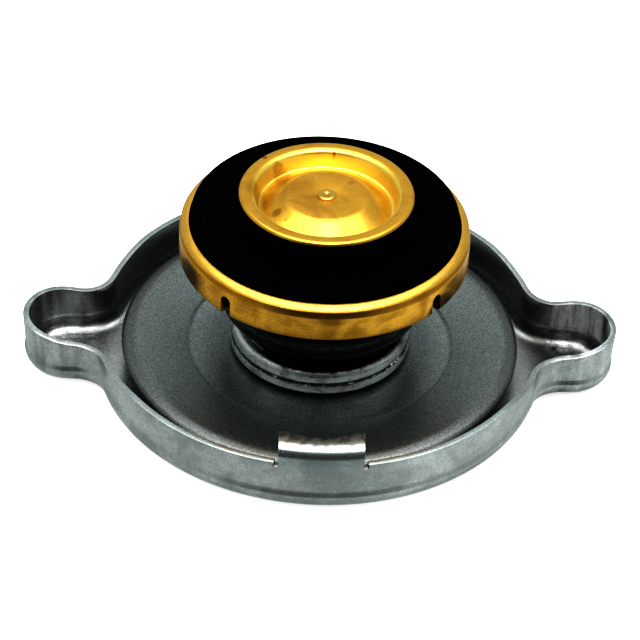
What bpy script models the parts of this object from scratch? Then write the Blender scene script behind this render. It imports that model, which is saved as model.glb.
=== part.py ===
"""Radiator cap lying on its crown, valve side up.

Z runs along the cap's axis and z = 0 is the outer face of the crown.
The two finger ears lie along X, the two cam tabs along Y.
All sizes below are in millimetres; MM turns them into metres.
"""
import math

import bmesh
import bpy
from mathutils import Vector

MM = 0.001
FIT = 0.3                    # clearance left between neighbouring pieces
MERGE = 0.00001              # metres, weld distance of turned profiles
CUT_PAST = 1.0               # how far a cutter runs past what it cuts

# Centre rivet that holds housing, disc and shell together
RIVET_SHANK = 2.3
RIVET_OUTER_HEAD = 5.0
RIVET_INNER_HEAD = 4.2
RIVET_OUTER_HEIGHT = 1.4
RIVET_INNER_HEIGHT = 1.2
RIVET_HOLE = RIVET_SHANK + FIT
RIVET_DOME = 2.3             # inner head: radius where the flat top ends
RIVET_DOME_DROP = 0.15
RIVET_SHOULDER = 3.7
RIVET_SHOULDER_DROP = 0.5
RIVET_RIM = 0.3
RIVET_OUTER_DOME = 3.75      # outer head: radius where the dome flattens
RIVET_OUTER_DOME_DROP = 0.25
RIVET_OUTER_RIM = 0.5

# Shell: one pressed sheet with crown, skirt, ears and cam tabs
SHELL_SHEET = 0.9
SKIRT_RADIUS = 34.0
SKIRT_TOP = 8.9
SKIRT_FLARE = 0.3
CROWN_EDGE = 2.8
EAR_RADIUS = 7.1
EAR_FILLET = 5.0
EAR_STRAIGHT = 0.8           # straight wall between ear fillet and ear tip
EAR_TIP_DROP = 1.0           # the free edge dips over the ears
EAR_NECK_DROP = 1.4
RECESS_FLOOR = 13.0
RECESS_SLOPE = 3.4
RECESS_DEPTH = 3.0
RECESS_ROUND = 1.3
RECESS_STEPS = 24

# Cam tabs rising from the skirt and bent inward
TAB_WIDTH = 12.3
TAB_RISE = 2.7
TAB_BEND = 1.7
TAB_HOOK_MIDDLE = 3.2
TAB_HOOK_CORNER = 4.5
TAB_CORNER_CUT = 0.6
TAB_DROOP = 0.05
TAB_SHARES = (0.0, 0.3, 0.6, 0.82, 0.95, 1.0)
TAB_TOP = SKIRT_TOP + TAB_RISE
SLOT_WIDTH = 0.6
SLOT_DEPTH = 0.8

# Friction disc: sprung sheet trapped under the housing
DISC_SHEET = 0.45
DISC_SEAT = RECESS_DEPTH + SHELL_SHEET + FIT
DISC_TOP = DISC_SEAT + DISC_SHEET
DISC_GAP = 3.1               # from the disc's edge to the skirt
DISC_RADIUS = SKIRT_RADIUS - SHELL_SHEET - DISC_GAP
DISC_STEP_RADIUS = 20.1
DISC_STEP_HEIGHT = 0.35
DISC_STEP_WIDTH = 0.4
DISC_STEP_FOOT = 0.105       # rise where the step begins
DISC_MARGIN = 1.7            # rolled-down margin outside the crest
DISC_CREST_RADIUS = DISC_RADIUS - DISC_MARGIN
DISC_CREST_RISE = 1.4
DISC_CREST_HALF = 0.9
DISC_CREST_ROUND = 0.12
DISC_EDGE_DROP = 0.5

# Guide cup: slides in the housing mouth, its foot is caught under the lip
MOUTH_RADIUS = 12.2
CUP_SHEET = 0.7
CUP_SLIDE = 0.6              # running clearance in the mouth
CUP_CATCH = 1.4              # how far the foot reaches under the lip
CUP_TUBE = MOUTH_RADIUS - CUP_SLIDE
CUP_BORE = CUP_TUBE - CUP_SHEET
CUP_FOOT = MOUTH_RADIUS + CUP_CATCH
CUP_HEIGHT = 5.9
CUP_ROUND = 0.9
CUP_FILLET = 0.3
CUP_BEVEL = 0.4              # inside corners of foot and web

# Spring housing: stepped cup, open toward the valve; heights from its base
HOUSING_SHEET = 0.7
HOUSING_BASE = DISC_TOP + FIT
HOUSING_FLOOR = HOUSING_BASE + HOUSING_SHEET
HOUSING_HEIGHT = 12.95
WAIST_RADIUS = MOUTH_RADIUS - 0.3
GROOVE_RADIUS = WAIST_RADIUS + 1.15
FOOT_RADIUS = GROOVE_RADIUS + 0.6
BAND_RADIUS = GROOVE_RADIUS + 0.45
BODY_GAP = 0.9               # from the cup's foot to the body's wall
BODY_RADIUS = CUP_FOOT + BODY_GAP + HOUSING_SHEET
RIM_RADIUS = BODY_RADIUS + 0.9
RIM_DEPTH = 1.3
FOOT_TOP = HOUSING_BASE + 1.55
GROOVE_Z = FOOT_TOP + 0.45
BAND_BOTTOM = GROOVE_Z + 0.45
BAND_TOP = BAND_BOTTOM + 1.4
WAIST_BOTTOM = BAND_TOP + 0.6
WAIST_TOP = WAIST_BOTTOM + 0.9
BODY_BOTTOM = WAIST_TOP + 2.9
MOUTH_TOP = HOUSING_BASE + HOUSING_HEIGHT
RIM_NECK = 0.6
RIM_ROUND = 0.7
RIM_UNDERCUT = 0.4
BODY_ROUND = 1.4
BAND_ROUND = 0.7
FOOT_ROUND = 0.8
GROOVE_ROUND = 0.15
HOUSING_FILLET = 0.3
CUP_FOOT_TOP = MOUTH_TOP - HOUSING_SHEET - FIT
CUP_TOP = CUP_FOOT_TOP - CUP_SHEET + CUP_HEIGHT

# Pressure plate, retainer ring and seal
PLATE_SHEET = 0.8
PLATE_BOTTOM = CUP_TOP + FIT
PLATE_TOP = PLATE_BOTTOM + PLATE_SHEET
RETAINER_SHEET = 0.5
RETAINER_RADIUS = 21.5
RETAINER_BOTTOM = PLATE_BOTTOM - FIT - RETAINER_SHEET
RETAINER_NECK = RETAINER_RADIUS - 0.35
RETAINER_WALL = 4.0
RETAINER_NECK_Z = RETAINER_BOTTOM + RETAINER_WALL
RETAINER_NECK_SLOPE = 0.6
BEAD_RADIUS = RETAINER_RADIUS - 0.2
BEAD_ROUND = 0.85
BEAD_Z = RETAINER_NECK_Z + 1.1
LIP_RADIUS = RETAINER_RADIUS - 1.45
LIP_END = BEAD_Z - 0.05
LIP_THICKNESS = 0.45
BEAD_END_ANGLE = -10         # degrees below the bead's widest point
BEAD_STEPS = 5
BEAD_FLOOR = BEAD_Z - 0.3    # hollow of the bead, seen in section
BEAD_ROOF = BEAD_Z + 0.2
BEAD_ROOF_INSET = 0.25
NECK_ROUND = 0.3
RETAINER_ROUND = 0.5
NECK_BEVEL = 0.15
NECK_BORE = RETAINER_NECK - 0.7 * RETAINER_SHEET
FLAP_RADIUS = RETAINER_RADIUS - 3.2
NOTCH_WIDTH = 1.75
NOTCH_HEIGHT = 3.3
NOTCH_TOP = RETAINER_BOTTOM + NOTCH_HEIGHT
NOTCH_ANGLES = (48.5, 138.5, 228.5, 318.5)
PLATE_RADIUS = RETAINER_RADIUS - RETAINER_SHEET - FIT
SEAL_BOTTOM = PLATE_TOP + FIT
SEAL_FLANGE = PLATE_RADIUS - FIT
SEAL_FLANGE_TOP = LIP_END - FIT
SEAL_RADIUS = LIP_RADIUS - FIT
SEAL_HEIGHT = 5.6
SEAL_TOP = SEAL_BOTTOM + SEAL_HEIGHT
SEAL_ROUND = 0.7

# Tubular rivet that joins plate and cup and guides the stem
STEM_RADIUS = 1.2
BUSH_BORE = STEM_RADIUS + 0.4
BUSH_WALL = 0.8
BUSH_TUBE = BUSH_BORE + BUSH_WALL
BUSH_HEAD = BUSH_TUBE + 1.0
BUSH_HEAD_HEIGHT = 0.5
BUSH_BEVEL = 0.2
BUSH_HOLE = BUSH_TUBE + FIT
BUSH_SPREAD_TOP = CUP_TOP - CUP_SHEET - FIT
BUSH_END = BUSH_SPREAD_TOP - BUSH_HEAD_HEIGHT
VENT_RADIUS = 1.0
VENT_CIRCLE = BUSH_HEAD + VENT_RADIUS + 0.5
VENT_ANGLES = (0.0, 90.0, 180.0, 270.0)
SEAL_BORE = VENT_CIRCLE + VENT_RADIUS + 0.9

# Vacuum valve: dish on a stem, pulled down by a small spring
DISH_SHEET = 0.4
DISH_SEAT_RADIUS = 9.3
DISH_SEAT_TOP = SEAL_TOP + FIT + DISH_SHEET
DISH_CONE_WIDTH = 3.1
DISH_CENTRE_RISE = 1.95
DISH_CENTRE_ROUND = 1.8
DISH_FLOOR_WIDTH = 0.7       # floor of the seating groove
DISH_WALL_SLANT = 0.75
DISH_RIM_RISE = 2.65
DISH_RIM_FILLET = 0.9
DISH_FLOOR_ROUND = 0.45
DISH_CENTRE_RADIUS = DISH_SEAT_RADIUS - DISH_CONE_WIDTH
DISH_CENTRE_TOP = DISH_SEAT_TOP + DISH_CENTRE_RISE
DISH_FLOOR_OUTER = DISH_SEAT_RADIUS + DISH_FLOOR_WIDTH
DISH_RIM_INNER = DISH_FLOOR_OUTER + DISH_WALL_SLANT
DISH_RIM_TOP = DISH_SEAT_TOP + DISH_RIM_RISE
DISH_EDGE_WIDTH = 0.3
DISH_EDGE_ROUND = 0.4
DISH_EDGE_DROP = 0.35
DISH_RADIUS = 13.0
STEM_NECK = 0.9
DISH_BORE = STEM_NECK + FIT
STEM_HEAD = 1.55
STEM_HEAD_HEIGHT = 0.4
STEM_DIMPLE = 0.35
STEM_DIMPLE_DEPTH = 0.3
STEM_DIMPLE_EDGE = 0.22
STEM_CREST_START = 0.75
STEM_CREST_END = 1.1
STEM_HEAD_DROP = 0.25
STEM_FOOT_RISE = 0.2
STEM_FOOT_BEVEL = 0.3
STEM_SHOULDER = 1.9
STEM_SHOULDER_HEIGHT = 0.6
STEM_FOOT = 1.9
STEM_FOOT_HEIGHT = 0.7
VACUUM_SPRING_LENGTH = 5.2
KEEPER_RADIUS = BUSH_HEAD
KEEPER_SHEET = 0.6
KEEPER_BORE = STEM_RADIUS + FIT
KEEPER_TOP = BUSH_END - 2 * FIT - VACUUM_SPRING_LENGTH

# Coil springs
MAIN_WIRE = 1.6
MAIN_SLACK = 0.5             # from the coil to the cup's bore
MAIN_RADIUS = CUP_BORE - MAIN_SLACK - MAIN_WIRE / 2
MAIN_TURNS = 5.5
MAIN_STEPS = 14
VACUUM_WIRE = 0.5
VACUUM_RADIUS = BUSH_BORE + 1.0
VACUUM_TURNS = 5.0
VACUUM_STEPS = 10
END_TURN = 0.9
END_PITCH_RATIO = 1.04

# Faceting
LARGE_STEPS = 44
MEDIUM_STEPS = 36
SMALL_STEPS = 20
PIN_STEPS = 14
SMALL_ROUND = 0.35
QUARTER = math.pi / 2

PARTS_NAME = "radiator_cap"
CUTTERS_NAME = "cutters"

STEEL = (0.46, 0.47, 0.48, 1.0)
DARK_STEEL = (0.16, 0.17, 0.175, 1.0)
BRASS = (0.80, 0.52, 0.17, 1.0)
RUBBER = (0.012, 0.012, 0.013, 1.0)


def clear_scene():
    """Remove every object and leftover mesh of the start-up scene."""
    for thing in list(bpy.data.objects):
        bpy.data.objects.remove(thing, do_unlink=True)
    for mesh in list(bpy.data.meshes):
        bpy.data.meshes.remove(mesh)


def collection(name):
    """Return a new collection linked under the scene."""
    made = bpy.data.collections.new(name)
    bpy.context.scene.collection.children.link(made)
    return made


def material(name, colour, metallic, roughness):
    """Return a Principled material with one colour."""
    made = bpy.data.materials.new(name)
    made.use_nodes = True
    shader = made.node_tree.nodes["Principled BSDF"]
    shader.inputs["Base Color"].default_value = colour
    shader.inputs["Metallic"].default_value = metallic
    shader.inputs["Roughness"].default_value = roughness
    made.diffuse_color = colour
    return made


def add_object(name, data, finish=None, cutter=False):
    """Link an object to the part's collection or to the cutters."""
    thing = bpy.data.objects.new(name, data)
    if cutter:
        CUTTERS.objects.link(thing)
        thing.hide_render = True
        thing.display_type = "WIRE"
    else:
        PARTS.objects.link(thing)
        data.materials.append(finish)
    return thing


def arc(centre, radius, start, end, steps):
    """Points of an arc in the profile plane; angles in degrees."""
    points = []
    for index in range(steps + 1):
        angle = math.radians(start + (end - start) * index / steps)
        points.append((centre[0] + radius * math.cos(angle),
                       centre[1] + radius * math.sin(angle)))
    return points


def rounded(corners, steps=2, small=SMALL_ROUND):
    """Turn corners (r, z, radius) into a profile with rounded corners."""
    points = []
    last = len(corners) - 1
    for index, (r, z, radius) in enumerate(corners):
        if radius == 0 or index in (0, last):
            points.append((r, z))
            continue
        here = Vector((r, z))
        back = (Vector(corners[index - 1][:2]) - here).normalized()
        ahead = (Vector(corners[index + 1][:2]) - here).normalized()
        half = back.angle(ahead) / 2
        reach = radius / math.tan(half)
        centre = here + (back + ahead).normalized() * (radius / math.sin(half))
        first = here + back * reach - centre
        final = here + ahead * reach - centre
        start = math.atan2(first.y, first.x)
        sweep = math.atan2(final.y, final.x) - start
        sweep = (sweep + math.pi) % (2 * math.pi) - math.pi
        count = steps if radius > small else 1
        for step in range(count + 1):
            angle = start + sweep * step / count
            points.append((centre.x + radius * math.cos(angle),
                           centre.y + radius * math.sin(angle)))
    return points


def turned(name, profile, steps, finish, closed=True):
    """Turn a profile about Z; it runs out over the top and down outside."""
    mesh = bpy.data.meshes.new(name)
    verts = [(r * MM, 0.0, z * MM) for r, z in profile]
    edges = [(i, i + 1) for i in range(len(verts) - 1)]
    if closed:
        edges.append((len(verts) - 1, 0))
    mesh.from_pydata(verts, edges, [])
    thing = add_object(name, mesh, finish)
    screw = thing.modifiers.new("turn", "SCREW")
    screw.axis = "Z"
    screw.angle = 2 * math.pi
    screw.steps = steps
    screw.render_steps = steps
    screw.use_merge_vertices = True
    screw.merge_threshold = MERGE
    return thing


def solidify(thing, sheet):
    """Give a surface its sheet thickness on the side behind its normals."""
    skin = thing.modifiers.new("sheet", "SOLIDIFY")
    skin.thickness = sheet * MM
    skin.offset = -1.0
    skin.use_even_offset = True
    skin.use_quality_normals = True


def cut(thing, cutter):
    """Subtract a cutter."""
    hole = thing.modifiers.new("cut " + cutter.name, "BOOLEAN")
    hole.operation = "DIFFERENCE"
    hole.solver = "EXACT"
    hole.object = cutter


def smooth_share(share):
    """Ease a share of 0 to 1 in and out."""
    return share * share * (3 - 2 * share)


def skirt_station(angle, kind, share=0.0):
    """One column of the shell on the round part of the skirt."""
    normal = (math.cos(angle), math.sin(angle))
    point = (SKIRT_RADIUS * normal[0], SKIRT_RADIUS * normal[1])
    return {"point": point, "normal": normal, "top": SKIRT_TOP,
            "kind": kind, "share": share}


def quarter_stations():
    """Shell columns from the middle of a cam tab round to an ear tip."""
    stations = []
    for share in TAB_SHARES:
        half = math.asin(share * TAB_WIDTH / 2 / SKIRT_RADIUS)
        stations.append(skirt_station(QUARTER - half, "tab", share))
    slot_end = QUARTER - math.asin((TAB_WIDTH / 2 + SLOT_WIDTH) / SKIRT_RADIUS)
    fillet_y = EAR_RADIUS + EAR_FILLET
    fillet_x = math.sqrt((SKIRT_RADIUS + EAR_FILLET) ** 2 - fillet_y ** 2)
    round_end = math.atan2(fillet_y, fillet_x)
    round_steps = 9
    for step in range(round_steps + 1):
        angle = slot_end + (round_end - slot_end) * step / round_steps
        stations.append(skirt_station(angle, "wall"))
    fillet_steps = 5
    fillet_start = round_end + math.pi
    fillet_end = 3 * QUARTER
    for step in range(1, fillet_steps + 1):
        share = step / fillet_steps
        angle = fillet_start + (fillet_end - fillet_start) * share
        out = (math.cos(angle), math.sin(angle))
        point = (fillet_x + EAR_FILLET * out[0], fillet_y + EAR_FILLET * out[1])
        top = SKIRT_TOP - EAR_NECK_DROP * smooth_share(share)
        stations.append({"point": point, "normal": (-out[0], -out[1]),
                         "top": top, "kind": "wall", "share": 0.0})
    ear_x = fillet_x + EAR_STRAIGHT
    ear_steps = 7
    for step in range(ear_steps + 1):
        share = step / ear_steps
        angle = QUARTER * (1 - share)
        out = (math.cos(angle), math.sin(angle))
        point = (ear_x + EAR_RADIUS * out[0], EAR_RADIUS * out[1])
        drop = EAR_NECK_DROP + (EAR_TIP_DROP - EAR_NECK_DROP) * smooth_share(share)
        top = SKIRT_TOP - drop
        stations.append({"point": point, "normal": out,
                         "top": top, "kind": "wall", "share": 0.0})
    return stations


def flipped(stations, sign_x, sign_y):
    """Mirror shell columns across the X and Y axes."""
    made = []
    for station in stations:
        copy = dict(station)
        copy["point"] = (station["point"][0] * sign_x, station["point"][1] * sign_y)
        copy["normal"] = (station["normal"][0] * sign_x, station["normal"][1] * sign_y)
        made.append(copy)
    return made


def all_stations():
    """Shell columns all the way round."""
    quarter = quarter_stations()
    loop = list(quarter)
    loop += flipped(quarter, 1, -1)[::-1][1:]
    loop += flipped(quarter, -1, -1)[1:]
    loop += flipped(quarter, -1, 1)[::-1][1:-1]
    return loop


def station_point(station, inset, z):
    """A point on a shell column, inset from the outline."""
    x = station["point"][0] - station["normal"][0] * inset
    y = station["point"][1] - station["normal"][1] * inset
    return Vector((x, y, z)) * MM


def wall_inset(station, z):
    """The skirt leans out by its flare from crown edge to free edge."""
    share = (z - CROWN_EDGE) / (station["top"] - CROWN_EDGE)
    return SKIRT_FLARE * (1 - share)


def tab_point(station, inset, z):
    """A point on a cam tab, drawn straight in toward the middle."""
    x = station["point"][0]
    y = station["point"][1] - math.copysign(inset, station["point"][1])
    return Vector((x, y, z)) * MM


def extrude_row(bm, verts, pairs, place):
    """Extrude the edges between paired columns and place the new row."""
    edges = [bm.edges.get((verts[a], verts[b])) for a, b in pairs]
    owner = {}
    for index in {i for pair in pairs for i in pair}:
        owner[verts[index].co.copy().freeze()] = index
    made = bmesh.ops.extrude_edge_only(bm, edges=edges)["geom"]
    row = list(verts)
    for vert in (item for item in made if isinstance(item, bmesh.types.BMVert)):
        row[owner[vert.co.copy().freeze()]] = vert
    for index in owner.values():
        row[index].co = place(index)
    return row


def shell_skin(bm, stations):
    """Crown edge, skirt, ears and tabs as one open surface."""
    count = len(stations)
    around = [(i, (i + 1) % count) for i in range(count)]

    def edge_row(angle):
        inset = CROWN_EDGE * (1 - math.sin(angle)) + SKIRT_FLARE
        z = CROWN_EDGE * (1 - math.cos(angle))
        return lambda i: station_point(stations[i], inset, z)

    first = edge_row(0.0)
    row = [bm.verts.new(first(i)) for i in range(count)]
    crown_loop = [bm.edges.new((row[a], row[b])) for a, b in around]
    edge_steps = 3
    for step in range(1, edge_steps + 1):
        row = extrude_row(bm, row, around, edge_row(QUARTER * step / edge_steps))

    def slot_floor(i):
        z = stations[i]["top"] - SLOT_DEPTH
        return station_point(stations[i], wall_inset(stations[i], z), z)

    def free_edge(i):
        if stations[i]["kind"] == "tab":
            return station_point(stations[i], 0.0, TAB_TOP - TAB_BEND)
        return station_point(stations[i], 0.0, stations[i]["top"])

    row = extrude_row(bm, row, around, slot_floor)
    same_kind = [(a, b) for a, b in around
                 if stations[a]["kind"] == stations[b]["kind"]]
    row = extrude_row(bm, row, same_kind, free_edge)

    tab_pairs = [(a, b) for a, b in same_kind if stations[a]["kind"] == "tab"]

    def bend_row(angle):
        inset = TAB_BEND * (1 - math.cos(angle))
        z = TAB_TOP - TAB_BEND * (1 - math.sin(angle))
        return lambda i: tab_point(stations[i], inset, z)

    bend_steps = 3
    for step in range(1, bend_steps + 1):
        row = extrude_row(bm, row, tab_pairs, bend_row(QUARTER * step / bend_steps))

    def hook_end(i):
        share = stations[i]["share"]
        hook = TAB_HOOK_MIDDLE + (TAB_HOOK_CORNER - TAB_HOOK_MIDDLE) * share ** 2
        if share == 1.0:
            hook -= TAB_CORNER_CUT
        return tab_point(stations[i], hook, TAB_TOP - TAB_DROOP)

    extrude_row(bm, row, tab_pairs, hook_end)
    return crown_loop


def recess_skin(bm):
    """Pressed recess in the crown that hides the rivet head."""
    mouth = RECESS_FLOOR + RECESS_SLOPE
    profile = rounded([(mouth + RECESS_ROUND, 0.0, 0),
                       (mouth, 0.0, RECESS_ROUND),
                       (RECESS_FLOOR, RECESS_DEPTH, RECESS_ROUND),
                       (RIVET_HOLE, RECESS_DEPTH, 0)])
    made = bmesh.ops.create_circle(bm, segments=RECESS_STEPS, radius=profile[0][0] * MM)
    verts = made["verts"]
    pairs = [(i, (i + 1) % RECESS_STEPS) for i in range(RECESS_STEPS)]
    mouth_loop = [bm.edges.get((verts[a], verts[b])) for a, b in pairs]
    directions = [vert.co.normalized() for vert in verts]
    for r, z in profile[1:]:
        def place(i, r=r, z=z):
            return directions[i] * (r * MM) + Vector((0, 0, z * MM))
        verts = extrude_row(bm, verts, pairs, place)
    return mouth_loop


def make_shell(finish):
    """Shell: crown, skirt, hollow finger ears and cam tabs in one sheet."""
    bm = bmesh.new()
    loops = shell_skin(bm, all_stations()) + recess_skin(bm)
    bmesh.ops.triangle_fill(bm, edges=loops, use_beauty=True, use_dissolve=False)
    bmesh.ops.recalc_face_normals(bm, faces=bm.faces[:])
    bm.faces.ensure_lookup_table()
    flat = [face for face in bm.faces if abs(face.normal.z) > 0.99
            and face.calc_center_median().z < CROWN_EDGE * MM / 10]
    if sum(face.normal.z for face in flat) > 0:
        bmesh.ops.reverse_faces(bm, faces=bm.faces[:])
    mesh = bpy.data.meshes.new("shell")
    bm.to_mesh(mesh)
    bm.free()
    thing = add_object("shell", mesh, finish)
    solidify(thing, SHELL_SHEET)
    return thing


def make_friction_disc(finish):
    """Sprung disc: flat centre, circular step, rolled-down margin."""
    step_top = DISC_TOP + DISC_STEP_HEIGHT
    crest_top = DISC_TOP + DISC_CREST_RISE
    step_half = DISC_STEP_WIDTH / 2
    profile = [(RIVET_HOLE, DISC_TOP),
               (DISC_STEP_RADIUS - step_half - DISC_STEP_WIDTH, DISC_TOP),
               (DISC_STEP_RADIUS - step_half, DISC_TOP + DISC_STEP_FOOT),
               (DISC_STEP_RADIUS + step_half, step_top),
               (DISC_CREST_RADIUS - DISC_CREST_HALF, crest_top - DISC_CREST_ROUND),
               (DISC_CREST_RADIUS, crest_top),
               (DISC_CREST_RADIUS + DISC_CREST_HALF, crest_top - DISC_CREST_ROUND),
               (DISC_RADIUS, crest_top - DISC_EDGE_DROP)]
    thing = turned("friction_disc", profile, LARGE_STEPS, finish, closed=False)
    solidify(thing, DISC_SHEET)
    return thing


def make_centre_rivet(finish):
    """Rivet with a hidden outer head and a closed head in the housing."""
    inner_base = HOUSING_FLOOR + FIT
    outer_base = RECESS_DEPTH - FIT
    inner_top = inner_base + RIVET_INNER_HEIGHT
    outer_end = outer_base - RIVET_OUTER_HEIGHT
    profile = [(0.0, inner_top),
               (RIVET_DOME, inner_top - RIVET_DOME_DROP),
               (RIVET_SHOULDER, inner_top - RIVET_SHOULDER_DROP),
               (RIVET_INNER_HEAD, inner_base + RIVET_RIM),
               (RIVET_INNER_HEAD, inner_base),
               (RIVET_SHANK, inner_base),
               (RIVET_SHANK, outer_base),
               (RIVET_OUTER_HEAD, outer_base),
               (RIVET_OUTER_HEAD, outer_base - RIVET_OUTER_RIM),
               (RIVET_OUTER_DOME, outer_end + RIVET_OUTER_DOME_DROP),
               (0.0, outer_end)]
    return turned("centre_rivet", profile, SMALL_STEPS, finish, closed=False)


def make_spring_housing(finish):
    """Stepped cup: two rounded foot bands, waist, body, rolled mouth."""
    outside = rounded([(MOUTH_RADIUS, MOUTH_TOP, 0),
                       (RIM_RADIUS, MOUTH_TOP, RIM_ROUND),
                       (RIM_RADIUS, MOUTH_TOP - RIM_DEPTH, RIM_UNDERCUT),
                       (BODY_RADIUS, MOUTH_TOP - RIM_DEPTH - RIM_NECK, HOUSING_FILLET),
                       (BODY_RADIUS, BODY_BOTTOM, BODY_ROUND),
                       (WAIST_RADIUS, WAIST_TOP, BAND_ROUND),
                       (WAIST_RADIUS, WAIST_BOTTOM, HOUSING_FILLET),
                       (BAND_RADIUS, BAND_TOP, BAND_ROUND),
                       (BAND_RADIUS, BAND_BOTTOM, HOUSING_FILLET),
                       (GROOVE_RADIUS, GROOVE_Z, GROOVE_ROUND),
                       (FOOT_RADIUS, FOOT_TOP, HOUSING_FILLET),
                       (FOOT_RADIUS, HOUSING_BASE, FOOT_ROUND),
                       (RIVET_HOLE, HOUSING_BASE, 0)])
    groove = GROOVE_RADIUS - HOUSING_SHEET
    waist = WAIST_RADIUS - HOUSING_SHEET
    body = BODY_RADIUS - HOUSING_SHEET
    inside = [(RIVET_HOLE, HOUSING_FLOOR),
              (groove - HOUSING_FILLET, HOUSING_FLOOR),
              (groove, HOUSING_FLOOR + HOUSING_FILLET),
              (groove, BAND_TOP - HOUSING_SHEET),
              (waist, WAIST_BOTTOM - HOUSING_SHEET),
              (waist, WAIST_TOP + HOUSING_FILLET),
              (body - HOUSING_FILLET, BODY_BOTTOM),
              (body, BODY_BOTTOM + HOUSING_SHEET),
              (body, MOUTH_TOP - HOUSING_SHEET),
              (MOUTH_RADIUS, MOUTH_TOP - HOUSING_SHEET)]
    return turned("spring_housing", outside + inside, MEDIUM_STEPS, finish)


def make_guide_cup(finish, vents):
    """Hat-shaped cup: web on top, tube, foot caught inside the housing."""
    under_foot = CUP_FOOT_TOP - CUP_SHEET
    outside = rounded([(BUSH_HOLE, CUP_TOP, 0),
                       (CUP_TUBE, CUP_TOP, CUP_ROUND),
                       (CUP_TUBE, CUP_FOOT_TOP, CUP_FILLET),
                       (CUP_FOOT, CUP_FOOT_TOP, 0)])
    under_web = CUP_TOP - CUP_SHEET
    inside = [(CUP_FOOT, under_foot), (CUP_BORE + CUP_BEVEL, under_foot),
              (CUP_BORE, under_foot + CUP_BEVEL), (CUP_BORE, under_web - CUP_BEVEL),
              (CUP_BORE - CUP_BEVEL, under_web), (BUSH_HOLE, under_web)]
    thing = turned("guide_cup", outside + inside, MEDIUM_STEPS, finish)
    for vent in vents:
        cut(thing, vent)
    return thing


def make_pressure_plate(finish, vents):
    """Flat plate that carries the seal."""
    profile = [(BUSH_HOLE, PLATE_TOP), (PLATE_RADIUS, PLATE_TOP),
               (PLATE_RADIUS, PLATE_BOTTOM), (BUSH_HOLE, PLATE_BOTTOM)]
    thing = turned("pressure_plate", profile, MEDIUM_STEPS, finish)
    for vent in vents:
        cut(thing, vent)
    return thing


def make_guide_bush(finish):
    """Tubular rivet: head on the plate, spread end under the cup."""
    head_base = PLATE_TOP + FIT
    head_top = head_base + BUSH_HEAD_HEIGHT
    profile = [(BUSH_BORE, head_top), (BUSH_HEAD - BUSH_BEVEL, head_top),
               (BUSH_HEAD, head_top - BUSH_BEVEL), (BUSH_HEAD, head_base),
               (BUSH_TUBE, head_base), (BUSH_TUBE, BUSH_SPREAD_TOP),
               (BUSH_HEAD, BUSH_SPREAD_TOP), (BUSH_HEAD, BUSH_END),
               (BUSH_BORE, BUSH_END)]
    return turned("guide_bush", profile, SMALL_STEPS, finish)


def make_seal_retainer(finish, notches):
    """Ring with a rolled bead over the seal and flaps under the plate."""
    inner = RETAINER_RADIUS - RETAINER_SHEET
    flap_top = RETAINER_BOTTOM + RETAINER_SHEET
    neck_foot = RETAINER_NECK_Z - RETAINER_NECK_SLOPE
    hollow = BEAD_RADIUS - RETAINER_SHEET
    centre = BEAD_RADIUS - BEAD_ROUND
    lip_angle = math.degrees(math.acos((LIP_RADIUS - centre) / BEAD_ROUND))
    bead = arc((centre, BEAD_Z), BEAD_ROUND, lip_angle,
               BEAD_END_ANGLE, BEAD_STEPS)
    outside = bead + rounded([bead[-1] + (0,),
                              (RETAINER_NECK, RETAINER_NECK_Z, NECK_ROUND),
                              (RETAINER_RADIUS, neck_foot, NECK_ROUND),
                              (RETAINER_RADIUS, RETAINER_BOTTOM, RETAINER_ROUND),
                              (FLAP_RADIUS, RETAINER_BOTTOM, 0)])[1:]
    inside = [(FLAP_RADIUS, flap_top), (inner, flap_top),
              (inner, neck_foot - NECK_BEVEL),
              (NECK_BORE, RETAINER_NECK_Z),
              (hollow, BEAD_FLOOR),
              (hollow - BEAD_ROOF_INSET, BEAD_ROOF),
              (LIP_RADIUS + LIP_THICKNESS, BEAD_ROOF),
              (LIP_RADIUS, LIP_END)]
    thing = turned("seal_retainer", outside + inside, LARGE_STEPS, finish)
    for notch in notches:
        cut(thing, notch)
    return thing


def make_pressure_seal(finish):
    """Rubber ring: flange under the bead, rounded shoulder standing proud."""
    outside = rounded([(SEAL_BORE, SEAL_TOP, 0),
                       (SEAL_RADIUS, SEAL_TOP, SEAL_ROUND),
                       (SEAL_RADIUS, SEAL_FLANGE_TOP, 0)], steps=4)
    lower = [(SEAL_FLANGE, SEAL_FLANGE_TOP), (SEAL_FLANGE, SEAL_BOTTOM),
             (SEAL_BORE, SEAL_BOTTOM)]
    return turned("pressure_seal", outside + lower, MEDIUM_STEPS, finish)


def make_vacuum_dish(finish):
    """Stamped dish: raised centre, seating groove, wall, flat rim."""
    profile = rounded([(DISH_BORE, DISH_CENTRE_TOP, 0),
                       (DISH_CENTRE_RADIUS, DISH_CENTRE_TOP, DISH_CENTRE_ROUND),
                       (DISH_SEAT_RADIUS, DISH_SEAT_TOP, DISH_FLOOR_ROUND),
                       (DISH_FLOOR_OUTER, DISH_SEAT_TOP, DISH_FLOOR_ROUND),
                       (DISH_RIM_INNER, DISH_RIM_TOP, DISH_RIM_FILLET),
                       (DISH_RADIUS - DISH_EDGE_WIDTH, DISH_RIM_TOP, DISH_EDGE_ROUND),
                       (DISH_RADIUS, DISH_RIM_TOP - DISH_EDGE_DROP, 0)],
                      small=DISH_FLOOR_ROUND)
    thing = turned("vacuum_dish", profile, MEDIUM_STEPS, finish, closed=False)
    solidify(thing, DISH_SHEET)
    return thing


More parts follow.
